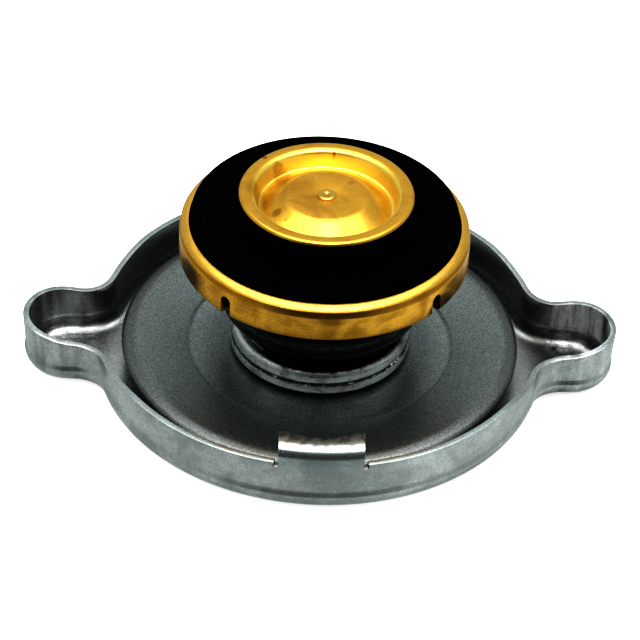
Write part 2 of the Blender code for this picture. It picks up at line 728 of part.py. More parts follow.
def make_vacuum_stem(finish):
    """Stem with a peened head on the dish and a spread foot."""
    head_base = DISH_CENTRE_TOP + FIT
    head_top = head_base + STEM_HEAD_HEIGHT
    shoulder_top = DISH_CENTRE_TOP - DISH_SHEET - FIT
    shoulder_end = shoulder_top - STEM_SHOULDER_HEIGHT
    foot_top = KEEPER_TOP - KEEPER_SHEET - FIT
    foot_end = foot_top - STEM_FOOT_HEIGHT
    profile = [(0.0, head_top - STEM_DIMPLE_DEPTH),
               (STEM_DIMPLE, head_top - STEM_DIMPLE_EDGE),
               (STEM_CREST_START, head_top), (STEM_CREST_END, head_top),
               (STEM_HEAD, head_top - STEM_HEAD_DROP), (STEM_HEAD, head_base),
               (STEM_NECK, head_base), (STEM_NECK, shoulder_top),
               (STEM_SHOULDER, shoulder_top), (STEM_SHOULDER, shoulder_end),
               (STEM_RADIUS, shoulder_end), (STEM_RADIUS, foot_top),
               (STEM_FOOT, foot_top), (STEM_FOOT, foot_end + STEM_FOOT_RISE),
               (STEM_FOOT - STEM_FOOT_BEVEL, foot_end), (0.0, foot_end)]
    return turned("vacuum_stem", profile, PIN_STEPS, finish, closed=False)


def make_spring_keeper(finish):
    """Washer at the foot of the stem that holds the small spring."""
    bottom = KEEPER_TOP - KEEPER_SHEET
    profile = [(KEEPER_BORE, KEEPER_TOP), (KEEPER_RADIUS, KEEPER_TOP),
               (KEEPER_RADIUS, bottom), (KEEPER_BORE, bottom)]
    return turned("spring_keeper", profile, SMALL_STEPS, finish)


def coil_height(turn, turns, wire, length):
    """Height of the wire centre above its start, with closed end turns."""
    end_pitch = wire * END_PITCH_RATIO
    middle_pitch = (length - 2 * END_TURN * end_pitch) / (turns - 2 * END_TURN)
    if turn < END_TURN:
        return turn * end_pitch
    if turn > turns - END_TURN:
        return length - (turns - turn) * end_pitch
    return END_TURN * end_pitch + (turn - END_TURN) * middle_pitch


def make_coil(name, radius, wire, bottom, top, turns, steps, finish):
    """Round-wire coil spring with closed ends."""
    curve = bpy.data.curves.new(name, "CURVE")
    curve.dimensions = "3D"
    curve.twist_mode = "Z_UP"
    curve.bevel_depth = wire / 2 * MM
    curve.bevel_resolution = 1
    curve.use_fill_caps = True
    spline = curve.splines.new("POLY")
    count = round(turns * steps)
    spline.points.add(count)
    length = top - bottom - wire
    for index in range(count + 1):
        turn = turns * index / count
        angle = 2 * math.pi * turn
        z = bottom + wire / 2 + coil_height(turn, turns, wire, length)
        spline.points[index].co = (radius * math.cos(angle) * MM,
                                   radius * math.sin(angle) * MM, z * MM, 1.0)
    return add_object(name, curve, finish)


def notch_cutter(angle):
    """Round-topped slot through the retainer's wall and flap."""
    half = NOTCH_WIDTH / 2
    below = RETAINER_BOTTOM - CUT_PAST
    outline = [(-half, below)]
    outline += arc((0.0, NOTCH_TOP - half), half, 180, 0, 8)
    outline += [(half, below)]
    inner = FLAP_RADIUS - CUT_PAST
    bm = bmesh.new()
    face = bm.faces.new([bm.verts.new(Vector((inner, y, z)) * MM) for y, z in outline])
    made = bmesh.ops.extrude_face_region(bm, geom=[face])["geom"]
    moved = [item for item in made if isinstance(item, bmesh.types.BMVert)]
    reach = (RETAINER_RADIUS + CUT_PAST - inner) * MM
    bmesh.ops.translate(bm, vec=(reach, 0, 0), verts=moved)
    bmesh.ops.recalc_face_normals(bm, faces=bm.faces[:])
    name = "notch_%d" % angle
    mesh = bpy.data.meshes.new(name)
    bm.to_mesh(mesh)
    bm.free()
    thing = add_object(name, mesh, cutter=True)
    thing.rotation_euler = (0, 0, math.radians(angle))
    return thing


def vent_cutter(angle):
    """Round vent through plate and guide cup."""
    top = PLATE_TOP + CUT_PAST
    bottom = CUP_TOP - CUP_SHEET - CUT_PAST
    bm = bmesh.new()
    bmesh.ops.create_cone(bm, cap_ends=True, segments=12, radius1=VENT_RADIUS * MM,
                          radius2=VENT_RADIUS * MM, depth=(top - bottom) * MM)
    name = "vent_%d" % angle
    mesh = bpy.data.meshes.new(name)
    bm.to_mesh(mesh)
    bm.free()
    thing = add_object(name, mesh, cutter=True)
    turn = math.radians(angle)
    thing.location = Vector((VENT_CIRCLE * math.cos(turn),
                             VENT_CIRCLE * math.sin(turn), (top + bottom) / 2)) * MM
    return thing


clear_scene()
PARTS = collection(PARTS_NAME)
CUTTERS = collection(CUTTERS_NAME)

plated = material("plated steel", STEEL, 1.0, 0.35)
spring_steel = material("dark spring steel", DARK_STEEL, 1.0, 0.4)
housing_steel = material("housing steel", STEEL, 1.0, 0.25)
rivet_steel = material("rivet steel", STEEL, 1.0, 0.35)
cup_steel = material("cup steel", STEEL, 1.0, 0.35)
wire_steel = material("spring wire", STEEL, 1.0, 0.35)
fine_wire = material("fine spring wire", STEEL, 1.0, 0.3)
plate_brass = material("plate brass", BRASS, 1.0, 0.35)
bush_brass = material("bush brass", BRASS, 1.0, 0.35)
ring_brass = material("retainer brass", BRASS, 1.0, 0.3)
dish_brass = material("dish brass", BRASS, 1.0, 0.25)
stem_brass = material("stem brass", BRASS, 1.0, 0.3)
keeper_brass = material("keeper brass", BRASS, 1.0, 0.35)
black_rubber = material("black rubber", RUBBER, 0.0, 0.55)

vent_cutters = [vent_cutter(angle) for angle in VENT_ANGLES]
notch_cutters = [notch_cutter(angle) for angle in NOTCH_ANGLES]

make_shell(plated)
make_friction_disc(spring_steel)
make_centre_rivet(rivet_steel)
make_spring_housing(housing_steel)
make_coil("pressure_spring", MAIN_RADIUS, MAIN_WIRE, HOUSING_FLOOR + FIT,
          CUP_TOP - CUP_SHEET - FIT, MAIN_TURNS, MAIN_STEPS, wire_steel)
make_guide_cup(cup_steel, vent_cutters)
make_pressure_plate(plate_brass, vent_cutters)
make_guide_bush(bush_brass)
make_seal_retainer(ring_brass, notch_cutters)
make_pressure_seal(black_rubber)
make_vacuum_dish(dish_brass)
make_vacuum_stem(stem_brass)
make_coil("vacuum_spring", VACUUM_RADIUS, VACUUM_WIRE, KEEPER_TOP + FIT,
          BUSH_END - FIT, VACUUM_TURNS, VACUUM_STEPS, fine_wire)
make_spring_keeper(keeper_brass)
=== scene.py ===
# %% [markdown]
# # A radiator cap, valve side up
# The cap lies on its crown, as it does on a bench. From below to above it is a pressed steel shell
# with two hollow finger ears and two cam tabs, a sprung friction disc, a stepped spring housing, a
# brass ring that clamps a rubber seal, and a small brass valve dish on its stem. The solids of the
# frame give every place and size; this script turns them into smooth sheet metal, brass and rubber.

# %% Load the frame
import math

import bmesh
import bpy
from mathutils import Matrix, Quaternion, Vector


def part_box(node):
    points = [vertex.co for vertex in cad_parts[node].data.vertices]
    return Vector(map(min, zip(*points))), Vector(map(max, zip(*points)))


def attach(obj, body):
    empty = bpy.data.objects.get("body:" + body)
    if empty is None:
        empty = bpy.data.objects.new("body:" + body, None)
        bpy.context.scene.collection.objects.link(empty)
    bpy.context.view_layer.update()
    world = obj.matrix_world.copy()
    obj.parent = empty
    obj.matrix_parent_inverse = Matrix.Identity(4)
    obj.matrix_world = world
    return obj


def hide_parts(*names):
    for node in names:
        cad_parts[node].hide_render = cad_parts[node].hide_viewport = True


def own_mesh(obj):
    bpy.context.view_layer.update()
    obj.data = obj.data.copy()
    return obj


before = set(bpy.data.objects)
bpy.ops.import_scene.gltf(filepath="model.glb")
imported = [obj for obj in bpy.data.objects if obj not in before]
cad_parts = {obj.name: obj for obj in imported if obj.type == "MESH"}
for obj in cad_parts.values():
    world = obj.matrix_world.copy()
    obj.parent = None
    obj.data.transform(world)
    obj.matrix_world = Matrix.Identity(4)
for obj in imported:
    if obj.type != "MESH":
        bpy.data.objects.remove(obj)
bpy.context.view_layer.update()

MM = 0.001

# %% [markdown]
# The camera comes first, because everything else is judged through it. A long lens from a fair
# distance keeps the ellipses of the round pieces nearly parallel, as in a catalogue picture. The
# small roll lets the right side sit lower.

# %% Camera
CAMERA_AIM = Vector((-0.18, -3.21, 11.10)) * MM
CAMERA_DISTANCE = 390 * MM
CAMERA_AZIMUTH = math.radians(1.91)
CAMERA_ELEVATION = math.radians(38.12)
CAMERA_ROLL = math.radians(2.82)
CAMERA_LENS = 146.25


def add_object(name, data):
    """A new object in the scene."""
    thing = bpy.data.objects.new(name, data)
    bpy.context.scene.collection.objects.link(thing)
    return thing


def make_camera():
    """Camera on a sphere round its aim, rolled about its own view axis."""
    level = math.cos(CAMERA_ELEVATION)
    back = Vector((-math.sin(CAMERA_AZIMUTH) * level, -math.cos(CAMERA_AZIMUTH) * level,
                   math.sin(CAMERA_ELEVATION)))
    data = bpy.data.cameras.new("camera")
    data.lens = CAMERA_LENS
    data.sensor_width = 36.0
    data.clip_start = 0.01
    camera = add_object("camera", data)
    camera.location = CAMERA_AIM + back * CAMERA_DISTANCE
    turn = (-back).to_track_quat("-Z", "Y") @ Quaternion((0, 0, 1), CAMERA_ROLL)
    camera.rotation_mode = "QUATERNION"
    camera.rotation_quaternion = turn
    bpy.context.scene.camera = camera
    return camera


camera = make_camera()
print("camera at", [round(v / MM, 1) for v in camera.location], "mm")

# %% [markdown]
# Node trees are easier to read as sums than as boxes and wires. A `Link` wraps one output socket
# and takes part in Python arithmetic; a `Graph` makes any node from its type, its settings and its
# sockets. The same two classes build both the materials and the Geometry Nodes trees.

# %% Links and graphs
class Link:
    """An output socket that Python sums can be written with."""

    def __init__(self, graph, socket):
        self.graph = graph
        self.socket = socket

    def sum(self, operation, *values):
        return self.graph.node("ShaderNodeMath", {"operation": operation}, dict(enumerate(values)))

    def __add__(self, other):
        return self.sum("ADD", self, other)

    def __sub__(self, other):
        return self.sum("SUBTRACT", self, other)

    def __rsub__(self, other):
        return self.sum("SUBTRACT", other, self)

    def __mul__(self, other):
        return self.sum("MULTIPLY", self, other)

    def __truediv__(self, other):
        return self.sum("DIVIDE", self, other)

    def __pow__(self, other):
        return self.sum("POWER", self, other)

    __radd__ = __add__
    __rmul__ = __mul__


class Graph:
    """A node tree under construction."""

    def __init__(self, tree):
        self.tree = tree

    def node(self, kind, settings=None, sockets=None, output=0):
        """Make a node, set it up, feed its sockets and return one of its outputs."""
        made = self.tree.nodes.new(kind)
        for key, value in (settings or {}).items():
            setattr(made, key, value)
        for key, value in (sockets or {}).items():
            if isinstance(value, Link):
                self.tree.links.new(value.socket, made.inputs[key])
            else:
                made.inputs[key].default_value = value
        return Link(self, made.outputs[output])

    def parts(self, vector, kind="ShaderNodeSeparateXYZ"):
        """The three numbers of a vector."""
        first = self.node(kind, {}, {0: vector})
        return tuple(Link(self, socket) for socket in first.socket.node.outputs)

    def join(self, x, y, z):
        """A vector from three numbers."""
        return self.node("ShaderNodeCombineXYZ", {}, {0: x, 1: y, 2: z})


# %% [markdown]
# A material is a `Paint`: a graph that starts from the object's own coordinates in millimetres, so
# that a scratch keeps its real width, and that knows the few patterns metalwork needs. Marks that
# run round the axis come from stretching noise along a hoop, marks that run outward from
# stretching it along a spoke. Neither has a seam, because they read the direction and not an angle.

# %% Paint
class Paint(Graph):
    """A material's graph with the patterns of worked metal and rubber."""

    def __init__(self, name, preview):
        self.material = bpy.data.materials.new(name)
        self.material.use_nodes = True
        self.material.diffuse_color = (*preview, 1.0)
        super().__init__(self.material.node_tree)
        self.tree.nodes.clear()
        object_place = self.node("ShaderNodeTexCoord", output="Object")
        self.place = self.node("ShaderNodeVectorMath", {"operation": "SCALE"},
                               {0: object_place, "Scale": 1 / MM})
        self.x, self.y, self.height = self.parts(self.place)
        self.radius = (self.x * self.x + self.y * self.y) ** 0.5
        self.cosine = self.x / self.radius
        self.sine = self.y / self.radius

    def noise(self, scale, detail=3.0, rough=0.55, vector=None, bend=0.0):
        """Fractal noise of 0 to 1; scale is in cycles per millimetre."""
        sockets = {"Vector": vector or self.place, "Scale": scale, "Detail": detail,
                   "Roughness": rough, "Distortion": bend}
        return self.node("ShaderNodeTexNoise", {}, sockets)

    def hoop(self, along, across):
        """Coordinates that stretch a pattern round the axis."""
        level = self.radius * across + self.height * (across * 1.37)
        return self.join(self.cosine * along, self.sine * along, level)

    def spoke(self, around, outward):
        """Coordinates that stretch a pattern away from the axis."""
        return self.join(self.cosine * around, self.sine * around, self.radius * outward)

    def between(self, value, low, high, start=0.0, end=1.0):
        """Smooth step from start to end while value goes from low to high."""
        return self.node("ShaderNodeMapRange", {"interpolation_type": "SMOOTHSTEP"},
                         {0: value, 1: low, 2: high, 3: start, 4: end})

    def band(self, value, low, full, fade, high):
        """1 while value is from full to fade, 0 below low and above high."""
        return self.between(value, low, full) * self.between(value, fade, high, 1.0, 0.0)

    def mix(self, share, first, second):
        """Colour between first and second."""
        colours = {0: share, 6: self.rgba(first), 7: self.rgba(second)}
        return self.node("ShaderNodeMix", {"data_type": "RGBA"}, colours, output=2)

    def rgba(self, colour):
        return colour if isinstance(colour, Link) else (*colour, 1.0)

    def scaled(self, colour, factor):
        """Colour made lighter or darker by a factor."""
        return self.node("ShaderNodeVectorMath", {"operation": "SCALE"}, {0: colour, "Scale": factor})

    def tinted(self, share, colour, tint):
        """Colour multiplied by a tint where the share is 1."""
        mixed = self.mix(share, (1.0, 1.0, 1.0), tint)
        return self.node("ShaderNodeVectorMath", {"operation": "MULTIPLY"}, {0: colour, 1: mixed})

    def spot(self, centre, size, soft, place=None):
        """A round mark with a ragged edge at a place on the piece, 1 inside."""
        away = self.node("ShaderNodeVectorMath", {"operation": "DISTANCE"},
                         {0: place or self.place, 1: centre}, output="Value")
        ragged = away + (self.noise(0.6, 4.0) - 0.5) * (size * 1.3)
        return self.between(ragged, size, size + soft, 1.0, 0.0)

    def done(self, colour, metallic, roughness, relief, depth, strength=1.0, **uniform):
        """Close the graph with a Principled shader and a bump of depth millimetres."""
        normal = self.node("ShaderNodeBump", {}, {"Strength": strength, "Distance": depth * MM,
                                                  "Height": relief})
        sockets = {"Base Color": self.rgba(colour), "Metallic": metallic,
                   "Roughness": roughness, "Normal": normal}
        sockets.update(uniform)
        surface = self.node("ShaderNodeBsdfPrincipled", {}, sockets)
        self.node_output(surface)
        return self.material

    def node_output(self, surface):
        target = self.tree.nodes.new("ShaderNodeOutputMaterial")
        self.tree.links.new(surface.socket, target.inputs["Surface"])


# %% [markdown]
# **Plated steel.** The shell is drawn from plated sheet. Its grey is never even: the plating clouds
# over centimetres, dries in small spots and carries hairlines from handling. A cloud of low
# frequency drives both the colour and the roughness, so dull patches are also the darker ones.

# %% Finish of the shell
STEEL_BRIGHT = (0.56, 0.575, 0.57)
STEEL_DULL = (0.37, 0.385, 0.38)
STEEL_DARK = (0.09, 0.095, 0.095)
EDGE_TINT = (0.93, 0.985, 1.0)
HOOK_LIGHT = (0.45, 0.49, 0.50)
HOOK_DARK = (0.22, 0.24, 0.245)
SHELL_SHEET = 0.9
SHELL_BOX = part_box("shell")
TAB_TOP = SHELL_BOX[1][2] / MM
TAB_HALF = 6.15
SLOT_HEIGHT = TAB_TOP - 3.1
SLOT_DISTANCE = 33.3
EAR_RADIUS = 7.1
EAR_CENTRE = SHELL_BOX[1][0] / MM - EAR_RADIUS
EAR_HOLLOW = EAR_RADIUS - SHELL_SHEET


def shell_finish():
    """Dull plating with clouds, fine grain, hairlines and small dark pits, painted shade low on the wall and
    at the slots, and a cool tint on the upper edge.
    """
    paint = Paint("plated steel", STEEL_BRIGHT)
    cloud = paint.noise(0.10, 4.0, 0.55, bend=0.5)
    fleck = paint.noise(0.8, 5.0, 0.65)
    grain = paint.noise(3.8, 4.0, 0.7)
    hairline = paint.noise(1.0, 4.0, 0.6, vector=paint.hoop(14.0, 5.0))
    dull = paint.between(cloud + (fleck - 0.5) * 0.4, 0.30, 0.68)
    colour = paint.mix(dull, STEEL_BRIGHT, STEEL_DULL)
    pit = paint.between(paint.noise(1.1, 2.0), 0.72, 0.78)
    colour = paint.mix(pit * 0.45, colour, STEEL_DARK)
    # Painted shade: the lower wall and the ears' floors are darkened, more on the right, with lighter and
    # darker vertical streaks near the ears' necks.
    pocket = paint.between(paint.radius, 31.0, 35.0) * paint.between(paint.height, 1.4, 3.0, 1.0, 0.0)
    right = paint.between(paint.x, 0.0, 30.0)
    streak = paint.noise(0.55, 3.0, 0.6, vector=paint.join(paint.x, paint.y, paint.height * 0.15))
    mottle = paint.between(paint.radius, 34.5, 36.5) * (streak - 0.5) * 1.3
    neck = pocket * paint.between(paint.radius, 36.5, 38.5, 1.0, 0.0)
    painted_shade = pocket * (right * 0.30 + 0.25) + neck * 0.25 - mottle
    colour = paint.scaled(colour, (1.0 - painted_shade) * ((grain - 0.5) * 1.2 + 1.0))
    # Painted shade: dark spots at the lower ends of the slots beside the tabs.
    for side in (-1, 1):
        for end in (-1, 1):
            corner = (side * (TAB_HALF + 0.35), end * SLOT_DISTANCE, SLOT_HEIGHT)
            colour = paint.mix(paint.spot(corner, 0.25, 0.25), colour, STEEL_DARK)
    # Painted correction of reflected colour: above the slots the wall is tinted cool to cancel the warm brass
    # it reflects.
    edge = paint.between(paint.height, SLOT_HEIGHT - 0.1, SLOT_HEIGHT + 0.3)
    hook = paint.between(paint.height, TAB_TOP - 0.12, TAB_TOP - 0.05)
    stained = paint.mix(paint.between(fleck + (streak - 0.5) * 0.8, 0.38, 0.62), HOOK_LIGHT, HOOK_DARK)
    colour = paint.mix(hook, paint.tinted(edge, colour, EDGE_TINT), stained)
    milky = paint.between(streak, 0.34, 0.60) * paint.between(paint.height, 3.0, 4.4)
    hollow = 0.0
    for centre, share in ((EAR_CENTRE, 0.55), (-EAR_CENTRE, 0.12)):
        away = paint.node("ShaderNodeVectorMath", {"operation": "DISTANCE"},
                          {0: paint.join(paint.x, paint.y, 0.0), 1: (centre, 0.0, 0.0)}, output="Value")
        hollow = hollow + paint.between(away, EAR_HOLLOW + 0.2, EAR_HOLLOW + 0.5, share, 0.0)
    roughness = 0.24 + dull * 0.10 + (grain - 0.5) * 0.16
    dent = paint.noise(0.07, 2.0)
    relief = dent * 6.0 + grain * 0.3 + fleck * 0.35 + hairline * 0.25
    return paint.done(colour, 0.96 - milky * hollow, roughness, relief, 0.03, 0.5)


shell_steel = shell_finish()
print("made", shell_steel.name)

# %% [markdown]
# ** Dark spring steel.** The friction disc is blackened spring sheet with a sandy satin skin. It has
# almost no pattern of its own: a fine grain, a painted lighter band just inside the pressed step that
# fades toward the housing's shade, a few specks of dust, and a darker, slightly rougher margin.

# %% Finish of the friction disc
DISC_TONE = (0.262, 0.290, 0.285)
DISC_DEEP = (0.205, 0.230, 0.227)
DISC_MARGIN = (0.165, 0.172, 0.170)
DISC_STEP = 20.1
DISC_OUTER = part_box("friction_disc")[1][0] / MM


def disc_finish():
    """Satin dark sheet, painted lighter inside the step and darker on its margin."""
    paint = Paint("dark spring steel", DISC_TONE)
    grain = paint.noise(3.6, 2.0, 0.8)
    cloud = paint.noise(0.09, 3.0)
    turned_mark = paint.noise(1.0, 3.0, vector=paint.hoop(2.5, 3.0))
    colour = paint.mix(cloud, DISC_DEEP, DISC_TONE)
    margin = paint.between(paint.radius + (cloud - 0.5) * 0.8, DISC_OUTER - 2.4, DISC_OUTER - 1.2)
    colour = paint.mix(margin, colour, DISC_MARGIN)
    speck = paint.between(paint.noise(1.5, 1.0), 0.80, 0.82)
    colour = paint.mix(speck * 0.6, colour, STEEL_BRIGHT)
    # Painted light: a lighter band just inside the step, fading toward the housing's shade.
    inside = paint.between(paint.radius, DISC_STEP - 0.3, DISC_STEP + 0.1, 1.0, 0.0)
    painted_step_light = inside * paint.between(paint.radius, DISC_STEP - 5.0, DISC_STEP - 1.0)
    colour = paint.scaled(colour, (painted_step_light * 0.24 + 1.0) * ((grain - 0.5) * 2.2 + 1.0))
    roughness = 0.30 + margin * 0.04
    relief = grain * 0.5 + turned_mark * 0.2
    return paint.done(colour, 0.9, roughness, relief, 0.02, 0.5)


disc_steel = disc_finish()
print("made", disc_steel.name)

# %% [markdown]
# ** Drawn steel.** The housing's two bands came out of the die with a satin shine that hoop scratches,
# oxide specks and dull streaks have broken. One side is rubbed bright, a patch that is partly wear and
# partly a painted glint. The groove between the bands is painted dark as shade, and above the bands
# the wall is painted near black as the shade under the brass ring, apart from some grey hoop threads
# and one painted brass-coloured line that stands in for a lit brass edge. The height on the piece
# decides, with a ragged border.

# %% Finish of the housing and other plain steel
HOUSING_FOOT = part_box("spring_housing")[0][2] / MM
HOUSING_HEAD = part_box("spring_housing")[1][2] / MM
BAND_RADIUS = 13.5
SATIN_LIGHT = (0.64, 0.655, 0.652)
SATIN_DARK = (0.33, 0.34, 0.34)
# Colours of the housing's painted shade, its grey threads, the painted glint and the painted brass line.
SHADE_BLACK = (0.012, 0.013, 0.013)
SHADE_THREAD = (0.10, 0.104, 0.104)
RUB_AND_GLINT_BRIGHT = (0.95, 0.95, 0.95)
RUB_AND_GLINT_ANGLE = math.radians(-42)
PAINTED_BRASS_LINE = (0.30, 0.17, 0.05)
THREAD_DEPTH = 2.4


def drawn_finish(name, speckle=1.0, skin=False):
    """Drawn steel with hoop scratches and oxide specks; for the housing also a painted glint, painted shade
    and a painted brass line.
    """
    paint = Paint(name, SATIN_LIGHT)
    streak = paint.noise(1.0, 5.0, 0.65, vector=paint.hoop(9.0, 7.0))
    grain = paint.noise(3.2, 4.0, 0.7)
    cloud = paint.noise(0.25, 4.0, 0.6, bend=0.8)
    stain = paint.between(cloud + (streak - 0.5) * 0.6, 0.40, 0.66)
    colour = paint.mix(stain, SATIN_LIGHT, SATIN_DARK)
    speck = paint.between(paint.noise(1.3, 3.0), 0.63, 0.70) * speckle
    colour = paint.mix(speck * 0.85, colour, STEEL_DARK)
    roughness = 0.38 + stain * 0.10 + speck * 0.1 + (grain - 0.5) * 0.2
    if skin:
        # Painted glint: a bright patch on the rubbed side, partly real wear and partly a painted highlight.
        side = (BAND_RADIUS * math.cos(RUB_AND_GLINT_ANGLE), BAND_RADIUS * math.sin(RUB_AND_GLINT_ANGLE),
                HOUSING_FOOT + 2.4)
        rub_and_glint = paint.spot(side, 1.6, 3.0) * paint.between(streak, 0.50, 0.60)
        colour = paint.mix(rub_and_glint, colour, RUB_AND_GLINT_BRIGHT)
        ragged = paint.height + (grain - 0.5) * 0.5 + (streak - 0.5) * 0.6
        up = ragged - HOUSING_FOOT
        # Painted shade: the groove between the two bands is darkened near black.
        groove = paint.band(up, 1.5, 1.7, 1.95, 2.15)
        groove = groove * (1.0 - paint.between(streak, 0.55, 0.65) * 0.7)
        colour = paint.mix(groove * (1.0 - rub_and_glint) * 0.92, colour, SHADE_BLACK)
        # Painted shade: above the bands the wall is painted near black, starting a little higher on the left.
        left = paint.between(paint.x, -11.0, -5.0, 1.0, 0.0)
        shade_start = left * 0.5 + (HOUSING_FOOT + 3.75)
        black = paint.between(ragged - shade_start, -0.35, 0.45)
        colour = paint.mix(black, colour, SHADE_BLACK)
        # Grey hoop threads in the painted shade near the top, and a painted brass-coloured line that stands
        # in for the lit edge of the brass above.
        above = paint.height - (HOUSING_HEAD - THREAD_DEPTH)
        thread = paint.band(above, -1.2, -0.5, 0.0, 0.2) * paint.between(streak, 0.42, 0.62)
        colour = paint.mix(thread, colour, SHADE_THREAD)
        colour = paint.mix(paint.band(above, 0.35, 0.45, 0.55, 0.65), colour, PAINTED_BRASS_LINE)
        roughness = roughness - rub_and_glint * 0.22 + groove * 0.2
    relief = streak * 0.6 + grain * 0.3 - speck * 0.4
    return paint.done(colour, 0.97, roughness, relief, 0.02, 0.6)


# For the housing, skin=True adds the painted glint, the painted shade and the painted brass line.
housing_steel = drawn_finish("housing steel", 1.0, skin=True)
hidden_steel = drawn_finish("plain steel", 0.3)
print("made", housing_steel.name, "and", hidden_steel.name)

# %% [markdown]
# **Brass.** Rolled brass is warm and shows its wear in colour more than in relief: thin brown
# tarnish where fingers and coolant reached it, pale gold where it was rubbed. The ring is palest on
# its bead and has three heavier blotches, each a named place on its wall. The dish carries radial
# scratches round the stem, which the light turns into a fan, and its smudges lie where the
# photographed one has them.

# %% Finish of the brass pieces
BRASS_GOLD = (0.86, 0.50, 0.09)
BRASS_PALE = (0.95, 0.72, 0.27)
DISH_GOLD = (0.77, 0.46, 0.085)
DISH_WALL = (0.90, 0.72, 0.20)
STEM_GOLD = (0.66, 0.44, 0.12)
BRASS_BROWN = (0.42, 0.205, 0.030)
BRASS_BLACK = (0.075, 0.040, 0.010)
RING_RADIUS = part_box("seal_retainer")[1][0] / MM
RING_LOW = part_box("seal_retainer")[0][2] / MM
RING_NECK = RING_LOW + 4.9


def on_ring(angle, height, stretch):
    """A place on the ring's wall: degrees, height above its lower edge, stretch of the height."""
    turn = math.radians(angle)
    return (RING_RADIUS * math.cos(turn), RING_RADIUS * math.sin(turn), (RING_LOW + height) * stretch)


def ring_finish():
    """Rolled brass with hoop lines, soft tarnish, dark blotches and painted shade in the groove under the
    bead.
    """
    paint = Paint("retainer brass", BRASS_GOLD)
    line = paint.noise(1.0, 5.0, 0.6, vector=paint.hoop(3.0, 6.0))
    cloud = paint.noise(0.16, 5.0, 0.6, bend=1.0)
    grain = paint.noise(3.4, 4.0, 0.7)
    bead = paint.between(paint.height, RING_NECK + 0.1, RING_NECK + 0.35)
    tarnish = paint.between(cloud + (line - 0.5) * 0.45, 0.38, 0.72)
    colour = paint.mix(tarnish * (1.0 - bead) * 0.8, BRASS_GOLD, BRASS_BROWN)
    colour = paint.mix(bead * 0.2, colour, BRASS_PALE)
    # Painted shade: the groove under the bead is darkened brown.
    groove = paint.band(paint.height - RING_NECK, -0.9, -0.6, -0.05, 0.12)
    colour = paint.mix(groove * 0.75, colour, BRASS_BROWN)
    lay = paint.join(paint.x, paint.y, paint.height * 1.7 + (line - 0.5) * 3.0)
    left = paint.spot(on_ring(203, 1.6, 1.7), 2.2, 3.2, lay) * 0.8
    right = paint.spot(on_ring(322, 1.2, 1.7), 1.4, 2.6, lay) * 0.8
    front = paint.spot(on_ring(272, 3.6, 1.7), 0.7, 1.9, lay) * 0.45
    front = front + paint.spot(on_ring(271, 1.3, 1.7), 0.5, 1.8, lay) * 0.35
    low = paint.between(paint.height + (cloud - 0.5) * 3.0, RING_LOW, RING_LOW + 1.2, 1.0, 0.0)
    blotch = paint.between(left + right + front + low * 0.35, 0.0, 1.0)
    colour = paint.mix(blotch, colour, BRASS_BLACK)
    colour = paint.scaled(colour, (grain - 0.5) * 0.6 + 1.0 - bead * 0.12)
    roughness = 0.25 + tarnish * 0.10 + blotch * 0.15 + bead * 0.08 + (grain - 0.5) * 0.1
    relief = line * (0.5 - bead * 0.3) + grain * 0.25
    return paint.done(colour, 0.98, roughness, relief, 0.02, 0.5)


# x, y, size, softness and strength of each smudge
DISH_SMUDGES = ((-3.6, 0.6, 2.0, 2.6, 0.3), (-7.2, -3.2, 0.45, 0.35, 0.9), (-9.6, 0.4, 1.5, 1.3, 0.5),
                (-6.2, 6.6, 1.3, 0.5, 0.55), (-5.9, -5.0, 0.12, 0.2, 0.8), (-9.2, 8.3, 0.3, 0.25, 1.0),
                (-8.3, -5.2, 0.3, 0.4, 0.5), (1.2, 10.6, 0.15, 0.2, 0.8), (4.1, 10.3, 0.12, 0.2, 0.7),
                (3.6, 3.4, 0.2, 0.5, 0.5))


def dish_finish():
    """Bright stamped brass with radial scratches, rings and smudges."""
    paint = Paint("dish brass", BRASS_GOLD)
    ray = paint.noise(1.0, 4.0, 0.7, vector=paint.spoke(26.0, 0.25))
    ring = paint.noise(1.0, 4.0, 0.6, vector=paint.hoop(1.5, 5.0))
    cloud = paint.noise(0.22, 5.0, 0.6, bend=0.8)
    grain = paint.noise(3.4, 4.0, 0.7)
    inner = paint.between(paint.radius, 5.4, 6.4, 1.0, 0.0)
    brown = paint.between(cloud + inner * 0.10 + (ray - 0.5) * inner * 0.5, 0.44, 0.78)
    colour = paint.mix(brown * 0.65, DISH_GOLD, BRASS_BROWN)
    pale = paint.between(ray, 0.60, 0.72) * inner
    colour = paint.mix(pale * 0.5, colour, BRASS_PALE)
    # Painted lit tone: the steep wall is given a paler brass, offsetting the deep colour that light gains
    # bouncing inside the dish.
    wall = paint.band(paint.radius, 9.5, 9.9, 10.8, 11.2)
    colour = paint.mix(wall * 0.9, colour, DISH_WALL)
    above = paint.join(paint.x, paint.y, 0.0)
    for x, y, size, soft, strength in DISH_SMUDGES:
        smudge = paint.spot((x, y, 0.0), size, soft, above)
        colour = paint.mix(smudge * strength, colour, BRASS_BROWN)
    fan = 1.0 + inner * (paint.between(ray, 0.35, 0.65, -0.12, 0.12) - 0.03)
    colour = paint.scaled(colour, fan * ((grain - 0.5) * 0.35 + 1.0))
    roughness = 0.28 + brown * 0.08 + inner * 0.05 + wall * 0.08 + (grain - 0.5) * 0.04
    relief = ray * inner * 0.6 + ring * 0.35
    return paint.done(colour, 0.95, roughness, relief, 0.02, 0.5)


